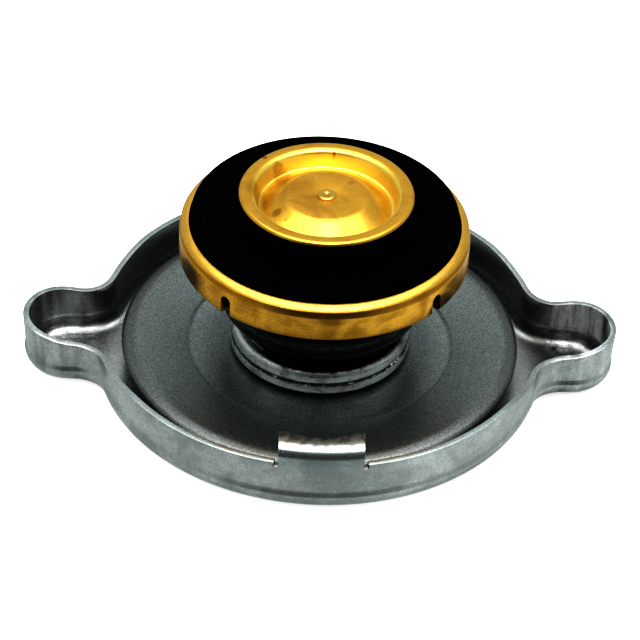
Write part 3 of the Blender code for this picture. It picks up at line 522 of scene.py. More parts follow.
def plain_brass_finish(name, tone, shade_from=None):
    """Turned brass of the small pieces, with painted shade outside a radius if one is given."""
    paint = Paint(name, tone)
    ring = paint.noise(1.0, 4.0, 0.6, vector=paint.hoop(1.0, 9.0))
    cloud = paint.noise(0.5, 4.0)
    colour = paint.mix(paint.between(cloud, 0.45, 0.75) * 0.5, tone, BRASS_BROWN)
    # Painted shade: outside the radius the brass is painted near black.
    if shade_from is not None:
        colour = paint.mix(paint.between(paint.radius, shade_from, shade_from + 0.5), colour, BRASS_BLACK)
    return paint.done(colour, 0.98, 0.25 + ring * 0.12, ring, 0.01, 0.5)


ring_brass = ring_finish()
dish_brass = dish_finish()
plain_brass = plain_brass_finish("plain brass", BRASS_GOLD)
# The plate's edge, seen through the ring's slots, is painted dark as the shade inside them.
plate_brass = plain_brass_finish("plate brass", BRASS_GOLD, RING_RADIUS - 2.0)
stem_brass = plain_brass_finish("stem brass", STEM_GOLD)
for finish in (ring_brass, dish_brass, plain_brass, plate_brass, stem_brass):
    print("made", finish.name)

# %% [markdown]
# **Black rubber.** The seal is nearly black and dull. What keeps it from looking like a hole is a
# very fine moulded grain and a few grey scuffs on the shoulder, where it was pushed into the neck.

# %% Finish of the seal
RUBBER_BLACK = (0.001, 0.001, 0.001)
RUBBER_SCUFF = (0.02, 0.02, 0.021)


def rubber_finish():
    """Moulded rubber with faint hoop scuffs."""
    paint = Paint("black rubber", RUBBER_BLACK)
    grain = paint.noise(4.0, 3.0)
    scuff = paint.noise(1.0, 5.0, 0.65, vector=paint.hoop(7.0, 3.5))
    patch = paint.noise(0.12, 3.0)
    marked = paint.between(scuff + (patch - 0.5) * 0.4, 0.62, 0.74)
    colour = paint.mix(marked * 0.6, RUBBER_BLACK, RUBBER_SCUFF)
    roughness = 0.62 + (grain - 0.5) * 0.2
    return paint.done(colour, 0.0, roughness, grain, 0.02, 0.35, **{"Specular IOR Level": 0.02})


seal_rubber = rubber_finish()
print("made", seal_rubber.name)

# %% [markdown]
# **A lathe in Geometry Nodes.** Nearly every piece here is turned: a section in the XZ plane swept
# about Z. The tree makes a grid with one column for each step of the turn and one row for each
# point of the section, asks the section for the point of that row, and swings it round by the
# column's angle. One tree serves all turned pieces, with the section, its number of points, the
# steps and the finish as inputs.

# %% The lathe tree
TAU = 2 * math.pi
WELD = 0.000001


class Shape(Graph):
    """A Geometry Nodes tree with named inputs."""

    def __init__(self, name, inputs):
        super().__init__(bpy.data.node_groups.new(name, "GeometryNodeTree"))
        face = self.tree.interface
        self.identifiers = {}
        for label, kind in (("Geometry", "NodeSocketGeometry"), *inputs):
            socket = face.new_socket(label, in_out="INPUT", socket_type=kind)
            self.identifiers[label] = socket.identifier
        face.new_socket("Geometry", in_out="OUTPUT", socket_type="NodeSocketGeometry")
        self.group_input = self.tree.nodes.new("NodeGroupInput")

    def value(self, label):
        """One of the tree's inputs."""
        return Link(self, self.group_input.outputs[label])

    def close(self, geometry):
        """Shade, realize, give the finish and end the tree."""
        smooth = self.node("GeometryNodeSetShadeSmooth", {}, {"Geometry": geometry})
        real = self.node("GeometryNodeRealizeInstances", {}, {"Geometry": smooth})
        painted = self.node("GeometryNodeSetMaterial", {},
                            {"Geometry": real, "Material": self.value("Finish")})
        target = self.tree.nodes.new("NodeGroupOutput")
        self.tree.links.new(painted.socket, target.inputs["Geometry"])


def lathe_tree():
    """Sweep the points of a section about Z."""
    shape = Shape("lathe", (("Section", "NodeSocketObject"), ("Points", "NodeSocketInt"),
                            ("Steps", "NodeSocketInt"), ("Finish", "NodeSocketMaterial")))
    points = shape.value("Points")
    steps = shape.value("Steps")
    grid = shape.node("GeometryNodeMeshGrid", {}, {"Vertices X": steps + 1, "Vertices Y": points})
    index = shape.node("GeometryNodeInputIndex")
    column = index.sum("FLOOR", index / points)
    row = index - column * points
    section = shape.node("GeometryNodeObjectInfo", {}, {"Object": shape.value("Section")}, "Geometry")
    place = shape.node("GeometryNodeInputPosition")
    sample = shape.node("GeometryNodeSampleIndex", {"data_type": "FLOAT_VECTOR"},
                        {"Geometry": section, "Value": place, "Index": row})
    radius, side, height = shape.parts(sample)
    angle = column / steps * TAU
    swung = shape.join(radius * angle.sum("COSINE", angle), radius * angle.sum("SINE", angle), height)
    turned = shape.node("GeometryNodeSetPosition", {}, {"Geometry": grid, "Position": swung})
    welded = shape.node("GeometryNodeMergeByDistance", {}, {"Geometry": turned, "Distance": WELD})
    shape.close(welded)
    return shape


lathe = lathe_tree()
print("lathe inputs", list(lathe.identifiers))

# %% [markdown]
# Every finished piece goes the same way: the tree is evaluated, copied to a plain mesh, welded, its
# normals turned outward and its edges marked sharp by angle. Then it takes its finish, the frame's
# solid it replaces is hidden, and it rides on its body.

# %% From tree to finished piece
SHARP_ANGLE = math.radians(38)


def evaluated_mesh(source):
    """Plain mesh of an object with its modifiers carried out."""
    depsgraph = bpy.context.evaluated_depsgraph_get()
    return bpy.data.meshes.new_from_object(source.evaluated_get(depsgraph), depsgraph=depsgraph)


def run_tree(shape, source, values):
    """Evaluate a tree on an object and return the plain mesh."""
    modifier = source.modifiers.new("shape", "NODES")
    modifier.node_group = shape.tree
    for label, value in values.items():
        modifier[shape.identifiers[label]] = value
    mesh = evaluated_mesh(source)
    source.modifiers.remove(modifier)
    return mesh


def tidy_mesh(mesh):
    """Weld, face outward and mark the sharp edges."""
    bm = bmesh.new()
    bm.from_mesh(mesh)
    bmesh.ops.remove_doubles(bm, verts=bm.verts[:], dist=WELD)
    bmesh.ops.dissolve_degenerate(bm, dist=WELD, edges=bm.edges[:])
    bmesh.ops.recalc_face_normals(bm, faces=bm.faces[:])
    bm.to_mesh(mesh)
    bm.free()
    mesh.shade_smooth()
    mesh.set_sharp_from_angle(angle=SHARP_ANGLE)


def finish_piece(name, mesh, body, node, finish):
    """Link a finished mesh, hide the frame's solid it replaces and attach it to its body."""
    tidy_mesh(mesh)
    mesh.materials.clear()
    mesh.materials.append(finish)
    piece = add_object(name, mesh)
    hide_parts(node)
    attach(piece, body)
    print(name, len(mesh.polygons), "faces on", body)
    return piece


# %% [markdown]
# A section is a list of (radius, height) points. `curve` rounds its corners with arcs, as a die
# does, and `sheet` gives an open line the thickness of the metal with half-round edges, as a
# blanked edge has after tumbling.

# %% Sections
ARC_STEP = math.radians(11)


def curve(corners):
    """Round the corners (radius, height, rounding) of a section, in millimetres."""
    points = [Vector(corners[0][:2])]
    for before, here, after in zip(corners, corners[1:], corners[2:]):
        corner = Vector(here[:2])
        if here[2] == 0:
            points.append(corner)
            continue
        back = (Vector(before[:2]) - corner).normalized()
        ahead = (Vector(after[:2]) - corner).normalized()
        half = back.angle(ahead) / 2
        centre = corner + (back + ahead).normalized() * (here[2] / math.sin(half))
        first = corner + back * (here[2] / math.tan(half)) - centre
        last = corner + ahead * (here[2] / math.tan(half)) - centre
        start = math.atan2(first.y, first.x)
        sweep = (math.atan2(last.y, last.x) - start + math.pi) % TAU - math.pi
        steps = max(2, math.ceil(abs(sweep) / ARC_STEP))
        for step in range(steps + 1):
            angle = start + sweep * step / steps
            points.append(centre + Vector((math.cos(angle), math.sin(angle))) * here[2])
    points.append(Vector(corners[-1][:2]))
    return points


def half_round(end, outward, skin, thickness):
    """Points of a rounded sheet edge, from the skin side to the back."""
    points = []
    for step in range(1, 6):
        angle = math.pi * step / 6
        swing = skin * math.cos(angle) + outward * math.sin(angle)
        points.append(end + (swing - skin) * (thickness / 2))
    return points


def sheet(line, thickness):
    """Closed section of a sheet whose skin runs along a line, with its back to the right."""
    ways = [(b - a).normalized() for a, b in zip(line, line[1:])]
    skins = [Vector((-way.y, way.x)) for way in ways]
    back = [line[0] - skins[0] * thickness]
    for here, first, second in zip(line[1:], skins, skins[1:]):
        middle = (first + second).normalized()
        back.append(here - middle * (thickness / middle.dot(first)))
    back.append(line[-1] - skins[-1] * thickness)
    far = half_round(line[-1], ways[-1], skins[-1], thickness)
    near = half_round(line[0], -ways[0], skins[0], thickness)
    return line + far + back[::-1] + near[::-1]


def turned_mesh(section, steps, finish, closed=True):
    """Run the lathe on a section given in millimetres."""
    points = list(section)
    if closed:
        points.append(points[0])
    mesh = bpy.data.meshes.new("section")
    mesh.from_pydata([(p[0] * MM, 0.0, p[1] * MM) for p in points], [], [])
    source = add_object("section", mesh)
    blank = add_object("blank", bpy.data.meshes.new("blank"))
    values = {"Section": source, "Points": len(points), "Steps": steps, "Finish": finish}
    made = run_tree(lathe, blank, values)
    bpy.data.objects.remove(source)
    bpy.data.objects.remove(blank)
    return made


TURN_STEPS = 216

# %% [markdown]
# **The shell.** Its outline is not round: a circle for the skirt, a concave fillet, then the round
# end of each ear. The wall is a set of columns along that outline. Each column carries the outward
# direction there and the height of the free edge, which dips over the ears. A quarter is enough,
# because the outline mirrors across both axes.

# %% Outline of the shell
SKIRT_RADIUS = SHELL_BOX[1][1] / MM
SKIRT_TOP = TAB_TOP - 2.7
SKIRT_FLARE = 0.3
CROWN_EDGE = 2.8
EAR_FILLET = 5.0
EAR_TIP_DROP = 0.1
EAR_NECK_DROP = 1.15
DIP_START = 27.0
NECK_REACH = 34.0
TIP_REACH = 44.0
TAB_BEND = 1.7
SLOT_WIDTH = 0.6
SLOT_DEPTH = 0.8
QUARTER = math.pi / 2
TAB_STEPS = 12
SKIRT_STEPS = 40
FILLET_STEPS = 18
EAR_STEPS = 24


def ease(share):
    """Smooth share between two heights."""
    return share * share * (3 - 2 * share)


def edge_height(x):
    """The free edge dips at the ears' necks and rises again to their tips."""
    reach = min(max(abs(x), DIP_START), TIP_REACH)
    down = ease(min(1.0, (reach - DIP_START) / (NECK_REACH - DIP_START)))
    up = ease(max(0.0, (reach - NECK_REACH) / (TIP_REACH - NECK_REACH)))
    return SKIRT_TOP - EAR_NECK_DROP * down + (EAR_NECK_DROP - EAR_TIP_DROP) * up


def column(point, out, kind="wall", share=0.0):
    """One upright line of the shell's wall."""
    return {"point": Vector(point), "out": Vector(out), "top": edge_height(point[0]),
            "kind": kind, "share": share}


def on_skirt(angle, kind="wall", share=0.0):
    """A column on the round part of the skirt."""
    out = Vector((math.cos(angle), math.sin(angle)))
    return column(out * SKIRT_RADIUS, out, kind, share)


def quarter_columns():
    """Columns from the middle of a cam tab to the tip of an ear."""
    columns = []
    for step in range(TAB_STEPS + 1):
        share = math.sin(QUARTER * step / TAB_STEPS)
        half = math.asin(share * TAB_HALF / SKIRT_RADIUS)
        columns.append(on_skirt(QUARTER - half, "tab", share))
    start = QUARTER - math.asin((TAB_HALF + SLOT_WIDTH) / SKIRT_RADIUS)
    fillet = Vector((0.0, EAR_RADIUS + EAR_FILLET))
    fillet.x = math.sqrt((SKIRT_RADIUS + EAR_FILLET) ** 2 - fillet.y ** 2)
    end = math.atan2(fillet.y, fillet.x)
    for step in range(SKIRT_STEPS + 1):
        columns.append(on_skirt(start + (end - start) * step / SKIRT_STEPS))
    for step in range(1, FILLET_STEPS + 1):
        angle = end + math.pi + (3 * QUARTER - end - math.pi) * (step / FILLET_STEPS)
        inward = Vector((math.cos(angle), math.sin(angle)))
        columns.append(column(fillet + inward * EAR_FILLET, -inward))
    centre = Vector((EAR_CENTRE, 0.0))
    for step in range(EAR_STEPS + 1):
        angle = QUARTER * (1 - step / EAR_STEPS)
        out = Vector((math.cos(angle), math.sin(angle)))
        columns.append(column(centre + out * EAR_RADIUS, out))
    return columns


def mirrored(columns, x, y):
    """Columns mirrored across one or both axes."""
    flip = Vector((x, y))
    return [dict(c, point=c["point"] * flip, out=c["out"] * flip) for c in columns]


quarter = quarter_columns()
outline = list(quarter)
outline += mirrored(quarter, 1, -1)[::-1][1:]
outline += mirrored(quarter, -1, -1)[1:]
outline += mirrored(quarter, -1, 1)[::-1][1:-1]
print("shell columns", len(outline), "skirt radius", round(SKIRT_RADIUS, 2))

# %% [markdown]
# The skin is a loft: rows of points up the columns, round the crown's edge, up the wall, and on the
# tabs alone over the bend and inward. The crown's flat is filled between the outer row and the
# mouth of the pressed recess. Solidify then gives the sheet its thickness inward, and a small Bevel
# rounds the cut edges, which is what catches the light along the skirt.

# %% The shell's rows
RECESS_FLOOR = 13.0
RECESS_SLOPE = 3.4
RECESS_DEPTH = 3.0
RECESS_ROUND = 1.3
RIVET_HOLE = 2.6
HOOK_MIDDLE = 3.2
HOOK_CORNER = 4.5
CORNER_CUT = 0.6
HOOK_DROOP = 0.05
FLAT_RIM = 0.25
FOOT_SWELL = 0.22
FOOT_RISE = 0.25
SWELL_END = 0.75


def wall_point(c, inset, height):
    """A point on a column, inset from the outline."""
    place = c["point"] - c["out"] * inset
    return Vector((place.x, place.y, height))


def crown_row(angle, extra=0.0):
    """Row round the crown's rounded edge; 0 is the flat, a quarter turn the wall."""
    inset = CROWN_EDGE * (1 - math.sin(angle)) + SKIRT_FLARE - FOOT_SWELL + extra
    height = CROWN_EDGE * (1 - math.cos(angle))
    return [wall_point(c, inset, height) for c in outline]


def wall_row(height, share=0.0):
    """Row at a height, moved by a share of the way to the floor of the slots."""
    row = []
    for c in outline:
        low = c["top"] - SLOT_DEPTH
        level = height + (low - height) * share
        lean = SKIRT_FLARE * (1 - (level - CROWN_EDGE) / (c["top"] - CROWN_EDGE))
        row.append(wall_point(c, lean, level))
    return row


def edge_row():
    """Free edge of the wall, and the foot of the bend on the tabs."""
    return [wall_point(c, 0.0, TAB_TOP - TAB_BEND if c["kind"] == "tab" else c["top"])
            for c in outline]


def tab_row(angle=None):
    """Row over the bend of the tabs, or their inner end."""
    row = []
    for c in outline:
        if angle is None:
            inset = HOOK_MIDDLE + (HOOK_CORNER - HOOK_MIDDLE) * c["share"] ** 2
            inset -= CORNER_CUT * max(0.0, (c["share"] - 0.9) / 0.1) ** 2
            height = TAB_TOP - HOOK_DROOP
        else:
            inset = TAB_BEND * (1 - math.cos(angle))
            height = TAB_TOP - TAB_BEND * (1 - math.sin(angle))
        side = math.copysign(inset, c["point"].y)
        row.append(Vector((c["point"].x, c["point"].y - side, height)))
    return row


# %% [markdown]
# The rows are joined by quads, column by column. The tabs' rows go higher than the wall's, so a
# quad above the slots is only made where both of its columns are on a tab. That leaves the slots
# open. One fill closes the crown between its outer row and the recess.

# %% Lofting the shell
RECESS_STEPS = 144
CROWN_STEPS = 8
EDGE_BEVEL = 0.28
BEVEL_STEPS = 4
BEVEL_ANGLE = math.radians(50)


def as_mesh(bm, name):
    """Hand a finished bmesh over as a mesh."""
    mesh = bpy.data.meshes.new(name)
    bm.to_mesh(mesh)
    bm.free()
    return mesh


def recess_rows():
    """Rows of the round recess in the crown, from its mouth to the rivet hole."""
    mouth = RECESS_FLOOR + RECESS_SLOPE
    line = curve([(mouth + RECESS_ROUND + FLAT_RIM, 0.0, 0), (mouth, 0.0, RECESS_ROUND),
                  (RECESS_FLOOR, RECESS_DEPTH, RECESS_ROUND), (RIVET_HOLE, RECESS_DEPTH, 0)])
    angles = [TAU * i / RECESS_STEPS for i in range(RECESS_STEPS)]
    turns = [Vector((math.cos(angle), math.sin(angle))) for angle in angles]
    return [[Vector((t.x * r, t.y * r, z)) for t in turns] for r, z in line]


def shell_mesh():
    """Outer skin of the shell as one open surface."""
    bm = bmesh.new()
    count = len(outline)
    rows = [crown_row(0.0, FLAT_RIM)]
    rows += [crown_row(QUARTER * step / CROWN_STEPS) for step in range(CROWN_STEPS + 1)]
    rows.append([wall_point(c, SKIRT_FLARE - FOOT_SWELL, CROWN_EDGE + FOOT_RISE) for c in outline])
    rows.append(wall_row(CROWN_EDGE + SWELL_END))
    rows += [wall_row(CROWN_EDGE + SWELL_END, share) for share in (0.1, 0.5, 1.0)]
    lines = [[bm.verts.new(p * MM) for p in row] for row in rows]
    for low, high in zip(lines, lines[1:]):
        for i in range(count):
            j = (i + 1) % count
            bm.faces.new((low[i], low[j], high[j], high[i]))
    upper = [lines[-1], [bm.verts.new(p * MM) for p in edge_row()]]
    bend = [tab_row(QUARTER * step / CROWN_STEPS) for step in range(1, CROWN_STEPS + 1)]
    for row in bend + [tab_row()]:
        upper.append([bm.verts.new(p * MM) for p in row])
    for level, (low, high) in enumerate(zip(upper, upper[1:])):
        for i in range(count):
            j = (i + 1) % count
            kinds = {outline[i]["kind"], outline[j]["kind"]}
            if kinds == {"tab"} or (level == 0 and kinds == {"wall"}):
                bm.faces.new((low[i], low[j], high[j], high[i]))
    dish = [[bm.verts.new(p * MM) for p in row] for row in recess_rows()]
    for low, high in zip(dish, dish[1:]):
        for i in range(len(low)):
            j = (i + 1) % len(low)
            bm.faces.new((low[j], low[i], high[i], high[j]))
    loops = [bm.edges.get((lines[0][i], lines[0][(i + 1) % count])) for i in range(count)]
    loops += [bm.edges.get((dish[0][i], dish[0][(i + 1) % len(dish[0])])) for i in range(len(dish[0]))]
    bmesh.ops.triangle_fill(bm, edges=loops, use_beauty=True, use_dissolve=False)
    loose = [v for v in bm.verts if not v.link_faces]
    bmesh.ops.delete(bm, geom=loose, context="VERTS")
    bmesh.ops.recalc_face_normals(bm, faces=bm.faces[:])
    outer_wall = max(bm.faces, key=lambda f: f.calc_center_median().x)
    if outer_wall.normal.x < 0:
        bmesh.ops.reverse_faces(bm, faces=bm.faces[:])
    return as_mesh(bm, "shell skin")


def make_shell():
    """Thicken the skin, round its cut edges and finish it."""
    source = add_object("skin", shell_mesh())
    wall = source.modifiers.new("sheet", "SOLIDIFY")
    wall.thickness = SHELL_SHEET * MM
    wall.offset = -1.0
    wall.use_even_offset = True
    wall.use_quality_normals = True
    edge = source.modifiers.new("edges", "BEVEL")
    edge.width = EDGE_BEVEL * MM
    edge.segments = BEVEL_STEPS
    edge.limit_method = "ANGLE"
    edge.angle_limit = BEVEL_ANGLE
    mesh = evaluated_mesh(source)
    bpy.data.objects.remove(source)
    return finish_piece("pressed_shell", mesh, "base", "shell", shell_steel)


make_shell()

# %% [markdown]
# **The friction disc** is one turned sheet: flat in the middle, a soft circular step, a shallow cone
# and a margin that rolls over. The step is only a third of a millimetre high, so it reads as a
# fine line, and the rolled margin as a light band.

# %% Friction disc
DISC_SHEET = 0.45
DISC_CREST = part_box("friction_disc")[1][2] / MM
DISC_TOP = DISC_CREST - 1.4


def make_disc():
    """Turn the disc from its skin line."""
    crest = DISC_OUTER - 1.7
    line = curve([(RIVET_HOLE, DISC_TOP, 0), (DISC_STEP - 0.35, DISC_TOP, 0.8),
                  (DISC_STEP + 0.15, DISC_TOP + 0.32, 0.8), (crest - 1.3, DISC_CREST - 0.12, 3.0),
                  (crest, DISC_CREST, 3.0), (DISC_OUTER - 0.5, DISC_CREST - 0.24, 0.8),
                  (DISC_OUTER, DISC_CREST - 0.6, 0)])
    mesh = turned_mesh(sheet(line, DISC_SHEET), TURN_STEPS, disc_steel)
    return finish_piece("sprung_disc", mesh, "base", "friction_disc", disc_steel)


make_disc()

# %% [markdown]
# **The centre rivet** holds shell, disc and housing. From above it is hidden in the housing, from
# below its head shows in the crown's recess, with the slight dome of an upset head.

# %% Centre rivet
RIVET_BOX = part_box("centre_rivet")
RIVET_HEAD = RIVET_BOX[1][0] / MM
RIVET_SHANK = 2.3
SMALL_TURN_STEPS = 96


def make_rivet():
    """Turn the rivet with its two heads."""
    low = RIVET_BOX[0][2] / MM
    high = RIVET_BOX[1][2] / MM
    section = curve([(0.0, high, 0), (2.8, high, 0.9), (4.2, high - 0.95, 0.25), (4.2, high - 1.2, 0.1),
                     (RIVET_SHANK, high - 1.2, 0.1), (RIVET_SHANK, low + 1.4, 0.1),
                     (RIVET_HEAD, low + 1.4, 0.1),
                     (RIVET_HEAD, low + 0.7, 0.4), (3.6, low, 1.4), (0.0, low, 0)])
    mesh = turned_mesh(section, SMALL_TURN_STEPS, hidden_steel, closed=False)
    return finish_piece("crown_rivet", mesh, "base", "centre_rivet", hidden_steel)


make_rivet()

# %% [markdown]
# **The spring housing** is a stepped cup. Its foot has two rounded bands with a fine groove between
# them, then it draws in to a waist and flares out to the body that holds the guide cup's foot under
# a curled rim. The bands are the brightest steel on the cap, because they face the light.

# %% Spring housing
RIM_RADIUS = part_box("spring_housing")[1][0] / MM
MOUTH_RADIUS = 12.2
HOUSING_SHEET = 0.7


def make_housing():
    """Turn the housing from its outer and inner lines."""
    body = RIM_RADIUS - 0.9
    waist = MOUTH_RADIUS - 0.3
    groove = waist + 1.15
    foot = groove + 0.6
    band = groove + 0.45
    base = HOUSING_FOOT
    top = HOUSING_HEAD
    outside = curve([(MOUTH_RADIUS, top - 0.35, 0), (MOUTH_RADIUS, top, 0.3),
                     (RIM_RADIUS, top, 0.7), (RIM_RADIUS, top - 1.3, 0.45),
                     (body, top - 1.9, 0.4), (body, base + 8.25, 1.6), (waist, base + 5.35, 0.9),
                     (waist, base + 4.3, 0.3), (band, base + 3.9, 1.1), (band, base + 2.15, 0.5),
                     (groove, base + 1.95, 0.1), (foot, base + 1.75, 0.75), (foot, base, 0.8),
                     (RIVET_HOLE, base, 0)])
    floor = base + HOUSING_SHEET
    roof = top - HOUSING_SHEET
    inside = curve([(RIVET_HOLE, floor, 0), (groove - HOUSING_SHEET, floor, 0.4),
                    (groove - HOUSING_SHEET, base + 3.15, 0.4), (waist - HOUSING_SHEET, base + 3.75, 0.4),
                    (waist - HOUSING_SHEET, base + 5.6, 0.5), (body - HOUSING_SHEET, base + 8.5, 1.0),
                    (body - HOUSING_SHEET, roof, 0.3), (MOUTH_RADIUS, roof, 0)])
    mesh = turned_mesh(outside + inside, TURN_STEPS, housing_steel)
    return finish_piece("stepped_housing", mesh, "housing", "spring_housing", housing_steel)


make_housing()

# %% [markdown]
# **Springs.** A compression spring's end coils lie almost flat, so a plain helix would be wrong. The
# tree walks along a line, turns the walked share into an angle, and climbs by a small pitch on the
# closed end coils and by a larger one between them. A circle swept along it is the wire.

# %% The coil tree and both springs
CLOSED_TURNS = 0.9
CLOSED_PITCH = 1.04
COIL_INPUTS = ("Radius", "Wire", "Bottom", "Top", "Turns")


def coil_tree():
    """Round wire wound about Z with closed ends."""
    inputs = [(label, "NodeSocketFloat") for label in COIL_INPUTS]
    shape = Shape("coil", (*inputs, ("Steps", "NodeSocketInt"), ("Finish", "NodeSocketMaterial")))
    radius, wire, bottom, top, turns = (shape.value(label) for label in COIL_INPUTS)
    line = shape.node("GeometryNodeCurvePrimitiveLine")
    fine = shape.node("GeometryNodeResampleCurve", {}, {"Curve": line, "Count": turns * shape.value("Steps")})
    share = shape.node("GeometryNodeSplineParameter", output="Factor")
    turn = share * turns
    closed = wire * CLOSED_PITCH
    middle = (top - bottom - wire - closed * (2 * CLOSED_TURNS)) / (turns - 2 * CLOSED_TURNS)
    first = turn.sum("MINIMUM", turn, CLOSED_TURNS)
    last = turn.sum("MAXIMUM", turn - (turns - CLOSED_TURNS), 0.0)
    climb = closed * (first + last) + middle * (turn - first - last)
    angle = turn * TAU
    place = shape.join(radius * angle.sum("COSINE", angle), radius * angle.sum("SINE", angle),
                       bottom + wire * 0.5 + climb)
    wound = shape.node("GeometryNodeSetPosition", {}, {"Geometry": fine, "Position": place})
    section = shape.node("GeometryNodeCurvePrimitiveCircle", {}, {"Resolution": 14, "Radius": wire * 0.5})
    swept = shape.node("GeometryNodeCurveToMesh", {}, {"Curve": wound, "Profile Curve": section,
                                                       "Fill Caps": True})
    shape.close(swept)
    return shape


def make_spring(name, node, body, radius, wire, turns):
    """Wind one spring between the ends of its solid."""
    blank = add_object("blank", bpy.data.meshes.new("blank"))
    low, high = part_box(node)
    values = {"Radius": radius * MM, "Wire": wire * MM, "Bottom": low[2], "Top": high[2],
              "Turns": turns, "Steps": 48, "Finish": hidden_steel}
    mesh = run_tree(coil, blank, values)
    bpy.data.objects.remove(blank)
    return finish_piece(name, mesh, body, node, hidden_steel)


def shorten(spring):
    """Give a spring a mesh of its own."""
    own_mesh(spring)


coil = coil_tree()
# coil radius, wire and turns come last
main_coil = make_spring("main_coil", "pressure_spring", "housing", 9.6, 1.6, 5.5)
small_coil = make_spring("small_coil", "vacuum_spring", "pressure", 2.6, 0.5, 5.0)
shorten(main_coil)
shorten(small_coil)

# %% [markdown]
# **Cuts round a ring.** The brass ring has four slots that let it be crimped over the plate, and
# the cup has four vents. Both are one cutter repeated by angle and subtracted, so one tree does
# them: it sets points, turns a copy of the cutter for each and takes them away in one Boolean.

# %% The ring-of-cuts tree
def cuts_tree():
    """Subtract copies of a cutter turned about Z."""
    shape = Shape("ring of cuts", (("Cutter", "NodeSocketObject"), ("Count", "NodeSocketInt"),
                                   ("Start", "NodeSocketFloat"), ("Finish", "NodeSocketMaterial")))
    cutter = shape.node("GeometryNodeObjectInfo", {}, {"Object": shape.value("Cutter")}, "Geometry")
    count = shape.value("Count")
    points = shape.node("GeometryNodePoints", {}, {"Count": count})
    index = shape.node("GeometryNodeInputIndex")
    turn = shape.join(0.0, 0.0, shape.value("Start") + index * TAU / count)
    copies = shape.node("GeometryNodeInstanceOnPoints", {},
                        {"Points": points, "Instance": cutter, "Rotation": turn})
    real = shape.node("GeometryNodeRealizeInstances", {}, {"Geometry": copies})
    cut = shape.node("GeometryNodeMeshBoolean", {"operation": "DIFFERENCE", "solver": "EXACT"},
                     {"Mesh 1": shape.value("Geometry"), "Mesh 2": real})
    shape.close(cut)
    return shape


cuts = cuts_tree()


def cut_ring(mesh, cutter_mesh, count, start, finish):
    """Run the ring of cuts on a mesh."""
    tidy_mesh(mesh)
    source = add_object("uncut", mesh)
    cutter = add_object("cutter", cutter_mesh)
    values = {"Cutter": cutter, "Count": count, "Start": math.radians(start), "Finish": finish}
    made = run_tree(cuts, source, values)
    bpy.data.objects.remove(source)
    bpy.data.objects.remove(cutter)
    return made


def prism(outline_yz, near, far):
    """A cutter along X with a flat outline in the YZ plane, in millimetres."""
    bm = bmesh.new()
    face = bm.faces.new([bm.verts.new(Vector((near, y, z)) * MM) for y, z in outline_yz])
    made = bmesh.ops.extrude_face_region(bm, geom=[face])["geom"]
    moved = [item for item in made if isinstance(item, bmesh.types.BMVert)]
    bmesh.ops.translate(bm, vec=((far - near) * MM, 0, 0), verts=moved)
    bmesh.ops.recalc_face_normals(bm, faces=bm.faces[:])
    return as_mesh(bm, "cutter")


def post(centre, radius, low, high):
    """A round cutter along Z, in millimetres."""
    bm = bmesh.new()
    bmesh.ops.create_cone(bm, cap_ends=True, segments=48, radius1=radius * MM, radius2=radius * MM,
                          depth=(high - low) * MM)
    bmesh.ops.translate(bm, vec=(centre * MM, 0, (low + high) / 2 * MM), verts=bm.verts[:])
    return as_mesh(bm, "cutter")


print("cutters ready")

# %% [markdown]
# **The guide cup** slides in the housing's mouth. It is a hat: web on top, tube, and a foot that is
# caught under the housing's rim. The four vents in its web let coolant through to the dish.

# %% Guide cup
CUP_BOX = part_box("guide_cup")
VENT_CIRCLE = 4.9
VENT_RADIUS = 1.0
VENTS = 4
CUP_SHEET = 0.7
CUP_SLIDE = 0.6
CUP_STEPS = 160


def make_cup():
    """Turn the cup and open its vents."""
    low = CUP_BOX[0][2] / MM
    top = CUP_BOX[1][2] / MM
    foot = CUP_BOX[1][0] / MM
    tube = MOUTH_RADIUS - CUP_SLIDE
    flange = low + CUP_SHEET
    line = curve([(2.7, top, 0), (tube, top, 1.0), (tube, flange, 0.35), (foot - 0.35, flange, 0)])
    mesh = turned_mesh(sheet(line, CUP_SHEET), CUP_STEPS, hidden_steel)
    cutter = post(VENT_CIRCLE, VENT_RADIUS, top - 1.7, top + 1.0)
    mesh = cut_ring(mesh, cutter, VENTS, 0.0, hidden_steel)
    return finish_piece("guide_hat", mesh, "pressure", "guide_cup", hidden_steel)


make_cup()

# %% [markdown]
# **The brass ring** wraps the seal. Its top is a rolled bead whose lip bites the rubber; under the
# bead the wall steps in to a fine groove, then runs down to a flap crimped under the plate. Four
# round-topped slots cut the flap and part of the wall.

# %% Seal retainer
RING_SHEET = 0.5
DOME_ROUND = 1.7
DOME_IN = math.radians(5)
DOME_OUT = math.radians(50)
DOME_EDGE = 0.25
DOME_RISE = 0.14
SLOT_ANGLE = 48.5
SLOTS = 4
SLOT_CUT_WIDTH = 1.75
SLOT_CUT_HEIGHT = 3.3
FLAP_REACH = 3.2
DOME_STEPS = 14
ARCH_STEPS = 12
RING_STEPS = 288


